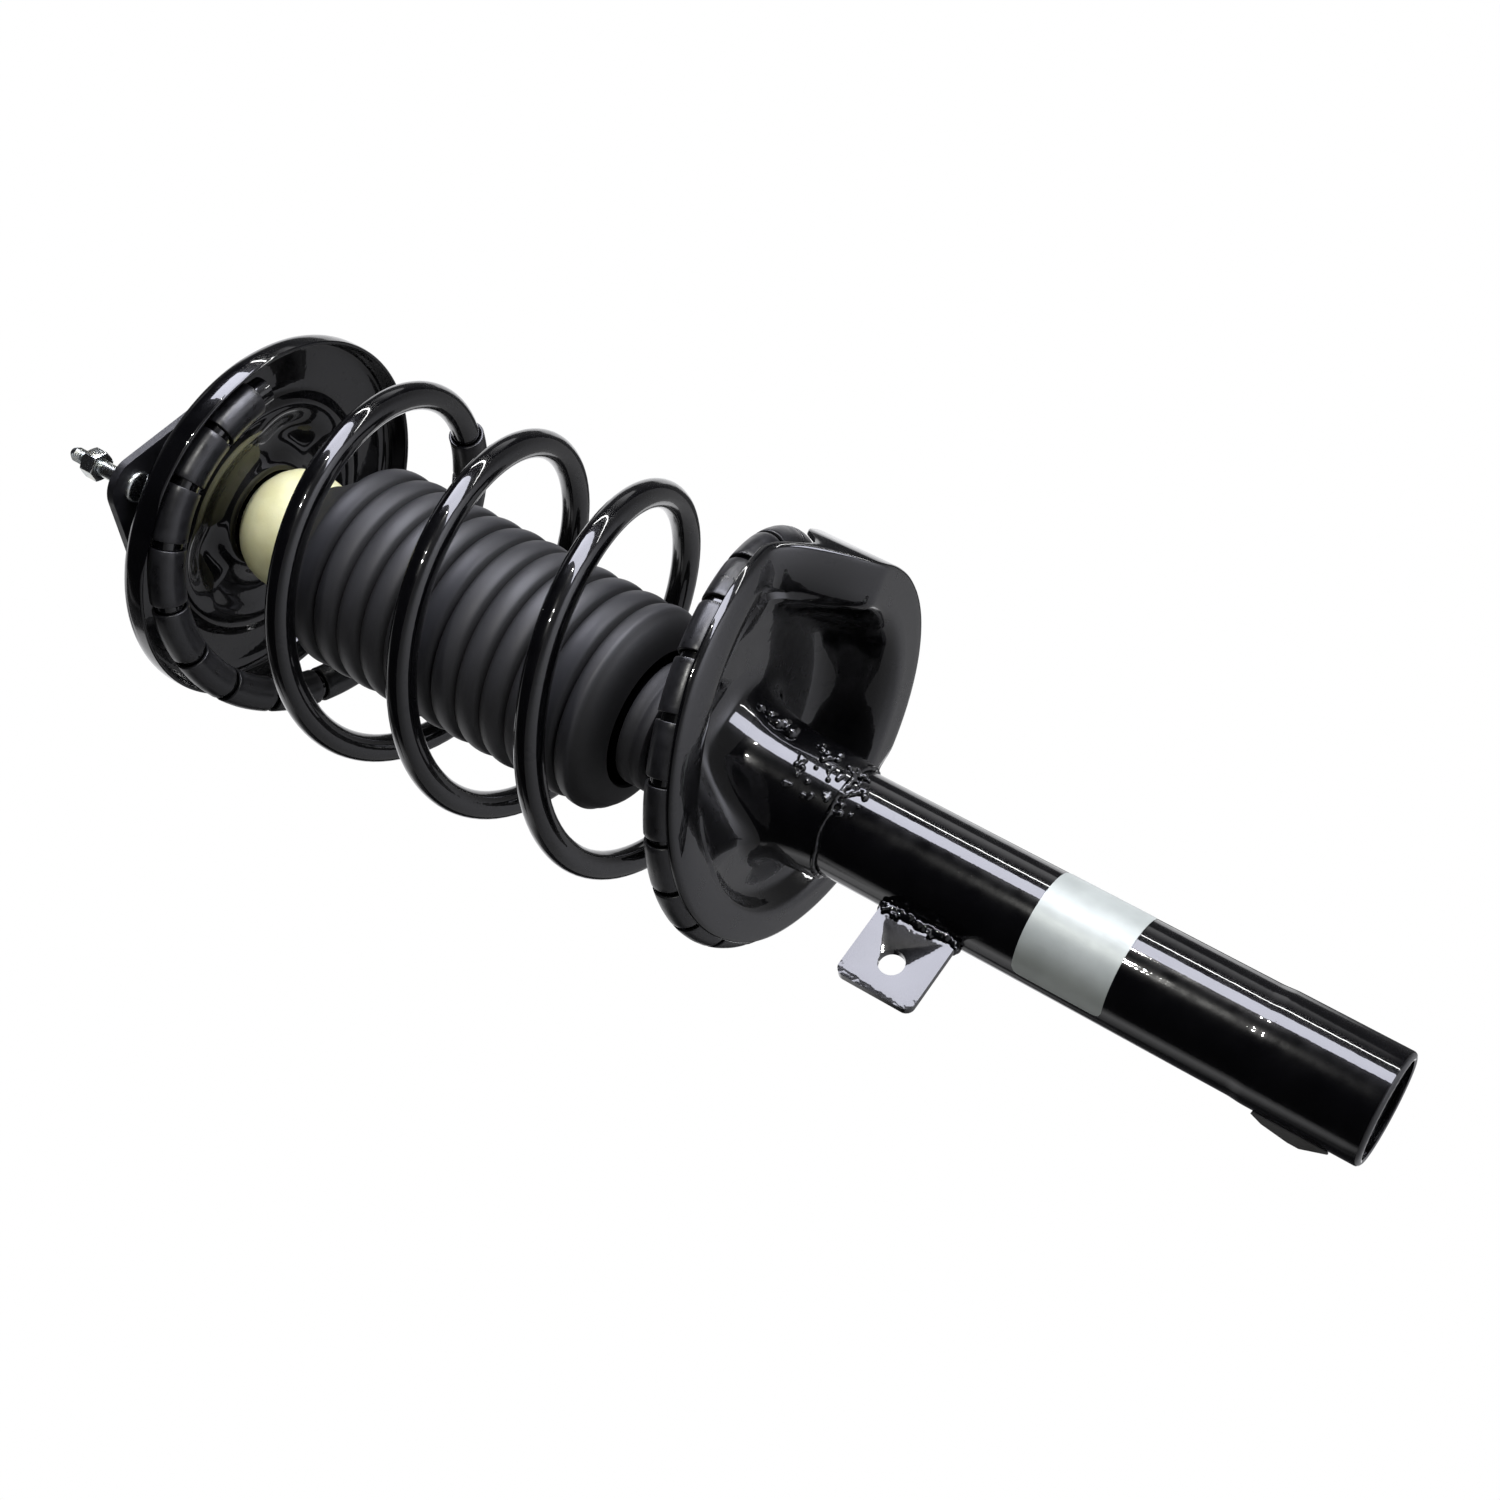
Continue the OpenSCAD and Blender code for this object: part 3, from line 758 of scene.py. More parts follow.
class STRUT_OT_stage(StrutOperator):
    """Camera, soft lights and a plain pale floor"""

    bl_idname = "strut.stage"
    bl_label = "Stage"

    def build(self, scene):
        bpy.ops.object.camera_add(location=(0, -0.98946, -0.09193))
        camera = bpy.context.object
        camera.name = "Camera"
        right = Vector((0.4698, 0.3341, -0.8171))
        up = Vector((0.8827, -0.1859, 0.4315))
        back = right.cross(up).normalized()
        up = back.cross(right.normalized())
        turn = Matrix((right.normalized(), up, back)).transposed()
        camera.rotation_mode = "QUATERNION"
        camera.rotation_quaternion = turn.to_quaternion()
        camera.data.sensor_width = 36
        camera.data.lens = 57.02
        camera.data.clip_start = 0.01
        camera.data.clip_end = 50
        scene.camera = camera
        scene.view_settings.view_transform = "Standard"

        clear()
        bpy.ops.mesh.primitive_grid_add(x_subdivisions=8, y_subdivisions=8, size=14, location=(0, 0, -0.55))
        floor = settle(bpy.context.object, "floor")
        floor.data.materials.append(pale_floor())

        target = Vector((0, 0, 0.33))
        self.lamp("overhead softbox", target, (0.80, -0.57, 0.15), 1.15, (0.42, 1.7), 30, (0.86, 0.87, 1.0))
        self.lamp("edge strip", target, (0.965, -0.20, 0.15), 1.15, (0.03, 1.7), 6, (1.0, 1.0, 1.0))
        for i, (x, y) in enumerate(((0.30, -0.94), (0.22, -0.965), (0.66, -0.74))):
            self.lamp(f"spot {i}", target, (x, y, 0.05), 1.25, (0.03, 0.03), 2.2, (1.0, 0.99, 0.95))
        self.world(scene)

    def lamp(self, name, target, direction, distance, size, power, colour):
        """A rectangular lamp that faces the strut, its long side along the strut."""
        direction = Vector(direction).normalized()
        bpy.ops.object.light_add(type="AREA", location=target + direction * distance)
        lamp = bpy.context.object
        lamp.name = name
        side = Vector((0, 0, 1)).cross(direction).normalized()
        turn = Matrix((side, direction.cross(side), direction)).transposed()
        lamp.rotation_mode = "QUATERNION"
        lamp.rotation_quaternion = turn.to_quaternion()
        lamp.data.shape = "RECTANGLE"
        lamp.data.size = size[0]
        lamp.data.size_y = size[1]
        lamp.data.energy = power
        lamp.data.color = colour

    def world(self, scene):
        """White surroundings behind the strut and a dim room in front of it."""
        world = bpy.data.worlds.new("studio")
        scene.world = world
        world.use_nodes = True
        tree = world.node_tree
        tree.nodes.clear()
        way = add(tree, "TexCoord").outputs["Generated"]
        split = add(tree, "SeparateXYZ", {"Vector": way})
        behind = span(tree, split.outputs["Y"], -0.05, 0.22, 0, 1)
        # a dark flag beside the strut, a dark end below it, and white cards with dark gaps between them
        toward_flag = self.along(tree, way, (-0.74, 0.64, -0.2))
        open_share = span(tree, toward_flag, 0.78, 0.92, 1, 0.06)
        toward_end = self.along(tree, way, (-0.6, 0, 1))
        end_share = span(tree, toward_end, -0.62, -0.36, 0.02, 1)
        cards = span(tree, noise(tree, way, 520, 1), 0.47, 0.53, 0.05, 1)
        share = behind
        for part in (open_share, cards, end_share):
            share = add(tree, "Math", {0: share, 1: part}, operation="MULTIPLY").outputs[0]
        room = mix(tree, share, (0.012, 0.012, 0.014, 1), (0.95, 0.95, 0.97, 1))
        lit = add(tree, "Background", {"Color": room, "Strength": 1.0})
        seen = add(tree, "Background", {"Color": (1, 1, 1, 1), "Strength": 1.0})
        camera_ray = add(tree, "LightPath").outputs["Is Camera Ray"]
        both = add(tree, "MixShader", {0: camera_ray, 1: lit.outputs[0], 2: seen.outputs[0]})
        output = add(tree, "OutputWorld")
        tree.links.new(both.outputs[0], output.inputs["Surface"])

    def along(self, tree, way, direction):
        """How far a direction of view points along another one."""
        return add(tree, "VectorMath", {0: way, 1: direction}, operation="DOT_PRODUCT").outputs["Value"]


class STRUT_OT_damper_tube(StrutOperator):
    """Outer tube, its base cap and the locating tab"""

    bl_idname = "strut.damper_tube"
    bl_label = "Damper tube"

    def build(self, scene):
        clamp_r = high_mm("outer_tube").x
        top = high_mm("outer_tube").z
        tube_r = clamp_r - 0.5
        bore = tube_r - 2
        swage_z = 56
        outline = [(clamp_r - 3, 0.6), *arc(clamp_r - 2.2, 2.2, 2.2, 230, 360, 8)]
        outline += [(clamp_r, 8), (clamp_r, swage_z - 4)]
        outline += [(clamp_r - 0.08, swage_z - 2), (clamp_r - 0.25, swage_z)]
        outline += [(tube_r + 0.08, swage_z + 2), (tube_r, swage_z + 4)]
        outline += [(tube_r, 120), (tube_r, 200), (tube_r, 300), (tube_r, top - 6)]
        outline += arc(tube_r - 2.5, top - 2.5, 2.5, 0, 90, 6)
        outline += [(bore - 3, top), (bore - 3, top - 1.8), (bore, top - 1.8)]
        outline += [(bore, 300), (bore, 150), (bore, 14), (bore, 4), (clamp_r - 3, 2.5)]
        tube = turned("outer_tube_shell", outline, 160)
        enamel_piece(tube, "lower_strut", "outer_tube")

        cap_r = bore - 0.05
        outline = [(0, 8.6), (8, 8.4), (13, 7.4), (17, 5.9), (20, 4.9)]
        outline += arc(cap_r - 1.6, 6.0, 1.6, 250, 360, 6)
        outline += [(cap_r, 14), (cap_r - 2, 14), (cap_r - 2, 8), (16, 9), (8, 11), (0, 11.4)]
        cap = turned("base_cap_pressing", outline, 128)
        enamel_piece(cap, "lower_strut", "base_cap")

        corners = [(-25.9, 12), (-27.4, 13.6), (-30.7, 24), (-30.7, 29), (-29.2, 41.5), (-25.9, 52)]
        side_on = Matrix(((1, 0, 0, 0), (0, 0, -1, 0), (0, 1, 0, 0), (0, 0, 0, 1)))
        tab = prism("locating_tab_plate", rounded_corners(corners, 0.8, 3), 5, side_on)
        round_edges(tab, 0.8, 3, 40)
        settle(tab, "locating_tab_plate", 40)
        finish_piece(tab, "lower_strut", finish_of(satin_black_paint), "gloss_black_paint", "locating_tab")


class STRUT_OT_label(StrutOperator):
    """Blank label wrapped round the tube"""

    bl_idname = "strut.label"
    bl_label = "Label"

    def build(self, scene):
        low = low_mm("tube_label")
        high = high_mm("tube_label")
        radius = high_mm("outer_tube").x - 0.5 + 0.04
        start, sweep = -152, 150
        width = math.radians(sweep) * radius
        height = high.z - low.z
        corner = 4.0
        columns, rows = 96, 40
        clear()
        bpy.ops.mesh.primitive_grid_add(x_subdivisions=columns, y_subdivisions=rows, size=1)
        label = bpy.context.object
        for vertex in label.data.vertices:
            u = (vertex.co.x + 0.5) * width
            v = (vertex.co.y + 0.5) * height
            near = min(v, height - v)
            inset = 0.0
            if near < corner:
                inset = corner - math.sqrt(max(0.0, corner**2 - (corner - near) ** 2))
            u = inset + u * (width - 2 * inset) / width
            a = math.radians(start) + u / radius
            vertex.co = (radius * math.cos(a) * MM, radius * math.sin(a) * MM, (low.z + v) * MM)
        apply_modifier(label, "SOLIDIFY", thickness=0.12 * MM, offset=1)
        face_outwards(label)
        settle(label, "tube_label_film", 50)
        finish_piece(label, "lower_strut", finish_of(silver_film), "silver_label", "tube_label")


class STRUT_OT_hose_bracket(StrutOperator):
    """Welded bracket plate with its punched hole and its weld beads"""

    bl_idname = "strut.hose_bracket"
    bl_label = "Hose bracket"

    def build(self, scene):
        bracket = scene.strut_bracket
        low = low_mm("hose_bracket")
        high = high_mm("hose_bracket")
        middle = (low.z + high.z) / 2
        half = (high.z - low.z) / 2
        reach = 65
        thickness = 4
        turn = Matrix.Rotation(bracket.azimuth, 4, "Z")
        upright = Matrix(((1, 0, 0, 0), (0, 0, -1, 0), (0, 1, 0, middle * MM), (0, 0, 0, 1)))
        corners = [(25.6, -half), (reach, -half), (reach, half), (25.6, half)]
        outline = [corners[0]]
        outline += rounded_corners(corners, 4.2, 6)[7:21]
        outline.append(corners[3])
        plate = prism("hose_bracket_plate", outline, thickness, turn @ upright)
        hole_r = bracket.hole_radius / MM
        reach_of_hole = bracket.hole_reach / MM
        clear()
        bpy.ops.mesh.primitive_cylinder_add(vertices=64, radius=hole_r * MM, depth=0.02)
        punch = bpy.context.object
        punch.data.transform(turn @ upright @ Matrix.Translation((reach_of_hole * MM, 0, 0)))
        cut(plate, punch)
        round_edges(plate, 0.9, 4, 40)
        settle(plate, "hose_bracket_plate", 40)
        enamel_piece(plate, "lower_strut", "hose_bracket")

        chance = random.Random(11)
        self.bracket_weld(chance, turn, middle, half)
        self.seat_weld(chance)

    def bracket_weld(self, chance, turn, middle, half):
        """A ragged bead on each side of the plate, with spatter beside it."""
        spots = []
        for side in (-1, 1):
            for i in range(17):
                along = middle - half + 1.0 + (2 * half - 2) * i / 16
                radius = 2.3 + 0.9 * chance.random()
                out = 26.2 + 1.5 * chance.random()
                offset = side * (1.6 + 1.2 * chance.random())
                spots.append((turn @ Vector((out, offset, along)), radius))
            for i in range(10):
                along = middle - half - 2 + (2 * half + 4) * chance.random()
                out = 26.2 + 4.2 * chance.random()
                offset = side * (2.6 + 2.2 * chance.random())
                spots.append((turn @ Vector((out, offset, along)), 0.7 + 0.7 * chance.random()))
        bead = lumps("bracket_weld_bead", spots, 0.55, 3)
        finish_piece(bead, "lower_strut", self.weld_paint(), "gloss_black_paint", "weld_beads")

    def seat_weld(self, chance):
        """The fine bead where the seat's neck meets the tube, its spatter, and the heavy tack up the neck."""
        bead_r = 26.5
        bead_balls = 110
        spots = []
        for i in range(bead_balls):
            a = math.radians(-200 + 360 * i / (bead_balls - 1))
            height = HUB_HEIGHT - 0.8 + 0.4 * math.sin(9 * a) + 0.3 * chance.random()
            radius = 1.1 + 0.4 * chance.random()
            spots.append(((bead_r * math.cos(a), bead_r * math.sin(a), height), radius))
        for i in range(70):
            a = math.radians(-88 + 56 * chance.random())
            height = 250 + 34 * chance.random()
            reach = 25.9 if height < 260 else 28.3 + 0.05 * (height - HUB_HEIGHT)
            spots.append(((reach * math.cos(a), reach * math.sin(a), height), 0.8 + 1.3 * chance.random()))
        for i in range(14):
            height = 294 + 22 * chance.random()
            a = math.radians(-36 + 12 * (chance.random() - 0.5))
            reach = neck_radius((height - HUB_HEIGHT) / (DISH_HEIGHT - HUB_HEIGHT))
            spots.append(((reach * math.cos(a), reach * math.sin(a), height), 2.2 + 1.6 * chance.random()))
        ring = lumps("seat_weld_bead", spots, 0.6, 3)
        finish_piece(ring, "lower_strut", self.weld_paint(), "gloss_black_paint")

    def weld_paint(self):
        """The enamel where it lies over weld metal."""
        return finish_of(gloss_black_paint, "Gloss black enamel over weld", 1.2, 0.05)


class STRUT_OT_lower_seat(StrutOperator):
    """Lower spring seat: a pressed pan, deep and dished on one side, whose rim climbs with the end coil"""

    bl_idname = "strut.lower_seat"
    bl_label = "Lower spring seat"

    def build(self, scene):
        first, step = 250, 2.0
        blank = [(28 + 0.5 * i, first + step * i) for i in range(len(self.outline(0.0)))]
        seat = turned("lower_spring_seat_pan", blank, 288, closed=True)
        outlines = {}
        for vertex in seat.data.vertices:
            ring = round((vertex.co.z / MM - first) / step)
            azimuth = round(math.degrees(math.atan2(vertex.co.y, vertex.co.x)), 3)
            if azimuth not in outlines:
                outlines[azimuth] = self.outline(azimuth)
            radius, height = outlines[azimuth][ring]
            a = math.radians(azimuth)
            offset = SEAT_OFFSET * min(1.0, max(0.0, (radius - 30) / 45))
            x = offset + radius * math.cos(a)
            vertex.co = (x * MM, radius * math.sin(a) * MM, height * MM)
        face_outwards(seat)
        settle(seat, "lower_spring_seat_pan", 60)
        enamel_piece(seat, "lower_strut", "lower_spring_seat")

    def channel(self, azimuth):
        """Height of the channel's underside: it climbs with the coil, then steps down to the deep side."""
        below_ramp = 3
        if azimuth < -14:
            s = smooth(-42, -14, azimuth)
            return (ramp_height(azimuth) - below_ramp) * (1 - s) + DEEP_HEIGHT * s
        if azimuth < 94:
            s = smooth(79, 94, azimuth)
            return DEEP_HEIGHT * (1 - s) + (ramp_height(94.2) - below_ramp) * s
        return ramp_height(azimuth) - below_ramp

    def outline(self, azimuth):
        """The sheet's section at an azimuth: up the neck, under the dish, round the rim and back inside."""
        z = self.channel(azimuth)
        inset = smooth(70, 125, azimuth) if azimuth > 0 else min(1.0, max(0.0, (-azimuth - 85) / 95))
        r = 97 - 11 * inset
        top = DISH_HEIGHT - 34 * (smooth(70, 110, azimuth) if azimuth > 0 else smooth(90, 150, -azimuth))
        share = smooth(-34, -16, azimuth) if azimuth < 20 else 1 - smooth(72, 90, azimuth)
        lift = 5 * (1 - inset) * (1 - share)
        wall = (z + 2.9 + 1.1 * lift) * (1 - share) + WALL_HEIGHT * share
        skin = self.neck(top) + self.dish(z, top, r, lift)
        return [(25.56, HUB_HEIGHT), *skin, *self.rim(z, r, lift, wall), *self.lining(skin), (25.56, 266.2)]

    def neck(self, top):
        """The neck's outside, from the weld up to the dish."""
        shares = [0, 0.04, 0.09, 0.16, 0.25, 0.35, 0.45, 0.55, 0.64, 0.72, 0.79, 0.85, 0.9, 0.94]
        return [(neck_radius(u), HUB_HEIGHT + (top - HUB_HEIGHT) * u) for u in shares]

    def dish(self, z, top, r, lift):
        """The dish's underside and the channel's, for a rim of radius r whose channel curls up by a lift."""
        shape = [(40.4, 0.965), (43.5, 0.987), (47.5, 0.998), (52, 1), (56.5, 0.995), (60, 0.975)]
        shape += [(63, 0.93), (65.5, 0.84), (67.6, 0.7), (69.3, 0.54), (70.9, 0.37), (72.4, 0.22)]
        shape += [(74.1, 0.1), (76, 0.03), (78.4, 0), (82, 0), (86, 0), (90, 0)]
        k = (r - 36) / 61
        points = []
        for q, part in shape:
            curl = lift * ((q - 84) / 13) ** 2 * (q > 74)
            points.append((36 + (q - 36) * k, z + (top - z) * part + curl))
        return points

    def rim(self, z, r, lift, wall):
        """Round the rim's lower corner, up the wall, over its edge and down inside."""
        t = SHEET
        points = [(r - 2.8, z + 0.62 * lift), (r - 1.7, z + 0.2 + 0.75 * lift)]
        points += [(r - 0.8, z + 0.7 + 0.86 * lift), (r - 0.2, z + 1.5 + 0.95 * lift), (r, z + 2.2 + lift)]
        points += [(r, wall - 0.6), (r - 0.3, wall - 0.15), (r - t / 2, wall), (r - t + 0.3, wall - 0.15)]
        points += [(r - t, wall - 0.2), (r - t, z + t + 0.12 + 0.6 * lift), (r - 5, z + t + 0.4 * lift)]
        return points

    def lining(self, skin):
        """The sheet's inner side, from the rim to the neck: the skin moved in by the sheet's thickness."""
        points = []
        for i in range(len(skin) - 1, 0, -1):
            a, b = Vector(skin[i - 1]), Vector(skin[min(len(skin) - 1, i + 1)])
            along = (b - a).normalized()
            points.append((skin[i][0] - SHEET * along.y, skin[i][1] + SHEET * along.x))
        return points


class STRUT_OT_upper_seat(StrutOperator):
    """Upper spring seat: a ribbed pan that opens downwards round the bump stop"""

    bl_idname = "strut.upper_seat"
    bl_label = "Upper spring seat"

    def build(self, scene):
        rim_z = low_mm("upper_spring_seat").z
        rim_r = high_mm("upper_spring_seat").x
        top = 612.4
        t = SHEET
        under = [(rim_r - 0.3, rim_z + 0.4), (rim_r - 1.3, rim_z), (rim_r - 2.4, rim_z + 0.5)]
        under += [(rim_r - 2.7, rim_z + 4), (rim_r - 3.0, top - t - 5), (rim_r - 5, top - t - 1.2)]
        under += [(rim_r - 8.5, top - t), (68, top - t), (65, top - t - 1), (62.5, top - t - 5)]
        under += [(60.5, top - t - 7.4), (57, top - t - 8), (52, top - t - 7.6), (48, top - t - 5)]
        under += [(44, top - t - 3), (39, top - t - 2.2), (34, top - t - 2.6), (30.5, top - t - 4.4)]
        under += [(28.4, top - t - 6), (26, top - t - 6.4), (24.2, top - t - 5.6), (23.4, top - t - 4)]
        over = [(23.4, top - t - 1), (24.4, top - t - 2.6), (26.2, top - t - 3.4), (28.2, top - t - 2.4)]
        over += [(31, top - t - 0.4), (39, top - 1.4), (50, top - 3.4), (60, top - 4), (66, top)]
        over += [(rim_r - 7.5, top), (rim_r - 2.6, top - 2), (rim_r - 0.4, top - 6.5), (rim_r, top - 10)]
        seat = turned("upper_spring_seat_pan", under + over, 192, closed=True, angle=50)
        for vertex in seat.data.vertices:
            x, y, z = (c / MM for c in vertex.co)
            radius = math.hypot(x, y)
            azimuth = math.degrees(math.atan2(y, x))
            lobe = max(0.0, math.cos(math.radians(3 * (azimuth + 20)))) ** 1.5
            drop = 4.5 * lobe * smooth(30, 38, radius) * (1 - smooth(50, 60, radius))
            flat_mid, flat_half = -112, 22
            away = abs((azimuth - flat_mid + 180) % 360 - 180)
            if radius > 80:
                chord = rim_r * math.cos(math.radians(13))
                limit = chord / max(0.5, math.cos(math.radians(away))) if away < flat_half else 1e9
                if limit < radius:
                    x, y = x * limit / radius, y * limit / radius
            vertex.co = (x * MM, y * MM, (z + drop) * MM)
        apply_modifier(seat, "SUBSURF", levels=1, render_levels=1)
        settle(seat, "upper_spring_seat_pan", 60)
        enamel_piece(seat, "spring_seat", "upper_spring_seat")


class STRUT_OT_coil_spring(StrutOperator):
    """Coil spring, bent between the two seats"""

    bl_idname = "strut.coil_spring"
    bl_label = "Coil spring"

    def build(self, scene):
        spring = scene.strut_spring
        steps = 430
        length = spring.last_turn - spring.first_turn
        turns = [spring.first_turn + length * i / steps for i in range(steps + 1)]
        wire = swept("coil_spring_wire", [coil_point(t) for t in turns], spring.wire_radius / MM, 26)
        round_edges(wire, 1.2, 3, 60)
        settle(wire, "coil_spring_wire", 50)
        coat = finish_of(gloss_black_paint, "Gloss black powder coat on spring steel", 4.5, 0.035)
        finish_piece(wire, None, coat, "spring_coating", "coil_spring")
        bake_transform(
            wire, "spring_seat", "lower_strut",
            start=coil_point(UPPER_SLEEVES[1]) * MM, end=coil_point(LOWER_SLEEVES[0]) * MM,
        )
        weights = wire.data.attributes["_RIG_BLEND"].data
        for vertex, weight in zip(wire.data.vertices, weights):
            x, y, z = (c / MM for c in vertex.co)
            weight.value = self.share(x, y, z)

    def share(self, x, y, z):
        """How far along the free coils the nearest point of the wire lies, from 0 to 1."""
        best = None
        for lap in range(-1, 5):
            azimuth = math.degrees(math.atan2(y, x - 7))
            turn = (PHASE - azimuth) / 360 + lap
            for _ in range(3):
                centre = SEAT_OFFSET * (turn + 0.9) / 4.4
                azimuth = math.degrees(math.atan2(y, x - centre))
                turn = round(turn - (PHASE - azimuth) / 360) + (PHASE - azimuth) / 360
            gap = abs(coil_point(turn).z - z)
            if best is None or gap < best[0]:
                best = (gap, turn)
        free = (best[1] - UPPER_SLEEVES[1]) / (LOWER_SLEEVES[0] - UPPER_SLEEVES[1])
        return min(1.0, max(0.0, free))


class STRUT_OT_sleeves(StrutOperator):
    """Rows of short sleeves on both ends of the spring"""

    bl_idname = "strut.sleeves"
    bl_label = "Coil sleeves"

    def build(self, scene):
        plastic = finish_of(sleeve_plastic)
        self.row(scene, "upper_coil_sleeves", UPPER_SLEEVES, "spring_seat", plastic, "upper_coil_sleeve")
        self.row(scene, "lower_coil_sleeves", LOWER_SLEEVES, "lower_strut", plastic, "lower_coil_sleeve")

    def row(self, scene, name, turns, body, material, node):
        spring = scene.strut_spring
        count = spring.sleeve_count
        pitch = (turns[1] - turns[0]) / count
        gap = pitch * 0.12
        parts = []
        for i in range(count):
            first = turns[0] + i * pitch + gap
            last = turns[0] + (i + 1) * pitch
            points = [coil_point(first + (last - first) * k / 8) for k in range(9)]
            part = swept(f"{name}_{i}", points, spring.sleeve_radius / MM, 32, caps=False)
            apply_modifier(part, "SOLIDIFY", thickness=1.5 * MM, offset=-1)
            round_edges(part, 0.45, 2, 40)
            parts.append(part)
        row = join(name, parts)
        face_outwards(row)
        settle(row, name, 45)
        finish_piece(row, body, material, "black_sleeve", node)


class STRUT_OT_boot(StrutOperator):
    """Bellows boot and the rubber ring below it"""

    bl_idname = "strut.boot"
    bl_label = "Dust boot"

    def build(self, scene):
        boot = scene.strut_boot
        crest = boot.crest_radius / MM
        valley = boot.valley_radius / MM
        pitch = boot.fold_pitch / MM
        wall = boot.wall / MM
        top = high_mm("dust_boot").z
        low = low_mm("dust_boot").z
        first_crest = 538
        steps = 10
        outer = [(30.1, top), (30.4, top - 1.2), (32, top - 4), (36, top - 10), (41, top - 17)]
        outer += [(44.6, first_crest + pitch / 2 + 1.2)]
        for i in range(boot.folds):
            start = first_crest + pitch / 2 - i * pitch
            last = i == boot.folds - 1
            for k in range(steps + 1):
                u = k / steps
                if last and u > 0.6:
                    break
                bulge = math.sqrt(max(0.0, 1 - (2 * u - 1) ** 2)) ** 0.75
                outer.append((valley + (crest - valley) * bulge, start - u * pitch))
        outer += [(50.6, 377.4), (49.0, 374.2), (46.5, 371.4), (43.0, 369.2), (39.0, 367.8), (35.0, low)]
        inner = [(34.2, low + 1.4), (39, low + 2.2), (44, low + 4.6), (47.5, low + 9), (valley - wall, 386)]
        for i in range(boot.folds - 2, 0, -1):
            start = first_crest + pitch / 2 - i * pitch
            inner.append((crest - wall - 0.4, start - pitch / 2))
            inner.append((valley - wall, start))
        inner += [(crest - wall - 0.6, first_crest), (42.6, first_crest + pitch / 2 + 1), (34.5, top - 10)]
        inner += [(28.5, top - 3), (28.3, top)]
        skin = turned("dust_boot_bellows", outer + inner, 144, angle=50)
        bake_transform(skin, "spring_seat", "lower_strut", start=(0, 0, top * MM), end=(0, 0, low * MM))
        span_z = top - low
        for vertex, weight in zip(skin.data.vertices, skin.data.attributes["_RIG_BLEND"].data):
            weight.value = min(1.0, max(0.0, (top - vertex.co.z / MM) / span_z))
        finish_piece(skin, None, finish_of(boot_rubber), "black_rubber", "dust_boot")

        low = low_mm("boot_ring")
        high = high_mm("boot_ring")
        r = high.x
        tube = high_mm("outer_tube").x - 0.5 + 0.05
        outline = [(tube, low.z + 0.5), (r - 1.6, low.z), (r - 0.4, low.z + 0.5), (r, low.z + 2)]
        outline += [(r, low.z + 4.6), (r - 0.9, low.z + 5.6), (r - 0.9, low.z + 7), (r, low.z + 8)]
        outline += [(r, high.z - 2.2), (r - 0.5, high.z - 0.7), (r - 1.8, high.z), (tube, high.z - 0.4)]
        ring = turned("boot_ring_band", outline, 128, angle=50)
        rubber = finish_of(moulded_rubber)
        finish_piece(ring, "lower_strut", rubber, "black_rubber", "boot_ring")


class STRUT_OT_bump_stop(StrutOperator):
    """Foam bump stop on the piston rod"""

    bl_idname = "strut.bump_stop"
    bl_label = "Bump stop"

    def build(self, scene):
        top = high_mm("bump_stop").z
        low = low_mm("bump_stop").z
        bore = 11.15
        outline = [(bore, low), (22.5, low), *arc(24, low + 3, 3, 270, 350, 4), (29.2, 556), (29.6, 559)]
        outline += [(29.2, 563), (28, 567), (27.8, 570), (28.6, 574), (30, 579), (31, 585), (30.6, 590)]
        outline += [(29, 595), (26.2, 599.6), (22.6, 603.4), (18.6, 606.2), (15, top - 0.9)]
        outline += [(12.6, top - 0.1), (11.6, top - 0.3), (bore, top - 1.2)]
        stop = turned("bump_stop_foam", outline, 128, angle=60)
        finish_piece(stop, "top_mount", finish_of(cream_foam), "cream_foam", "bump_stop")


class STRUT_OT_piston_rod(StrutOperator):
    """Hard-chromed piston rod with its threaded upper end"""

    bl_idname = "strut.piston_rod"
    bl_label = "Piston rod"

    def build(self, scene):
        low = low_mm("piston_rod").z
        top = high_mm("piston_rod").z
        rod_r = high_mm("piston_rod").x
        shoulder = 628
        outline = [(0, low), (5, low), (5.8, low + 1), (5.8, 283), (rod_r - 1.2, 283), (rod_r, 284.4)]
        outline += [(rod_r, 400), (rod_r, 520), (rod_r, shoulder - 1.2), (rod_r - 1.2, shoulder)]
        outline += [(6.9, shoulder), (6.9, shoulder + 2), (6.1, shoulder + 2.6), (6.1, top - 1.6)]
        outline += [(4.8, top), (0, top)]
        rod = turned("piston_rod_shaft", outline, 96, angle=40)
        chrome = finish_of(turned_metal, "Hard chrome, ground", "#C9CCD0", "#B9BEC4", (0.06, 0.14), 0.25)
        thread = helical_thread("rod_thread", 7.0, 1.5, shoulder + 18, top - 0.6, 0.95, 48)
        whole = join("piston_rod_shaft", [rod, thread])
        settle(whole, "piston_rod_shaft", 40)
        finish_piece(whole, "top_mount", chrome, "hard_chrome", "piston_rod")


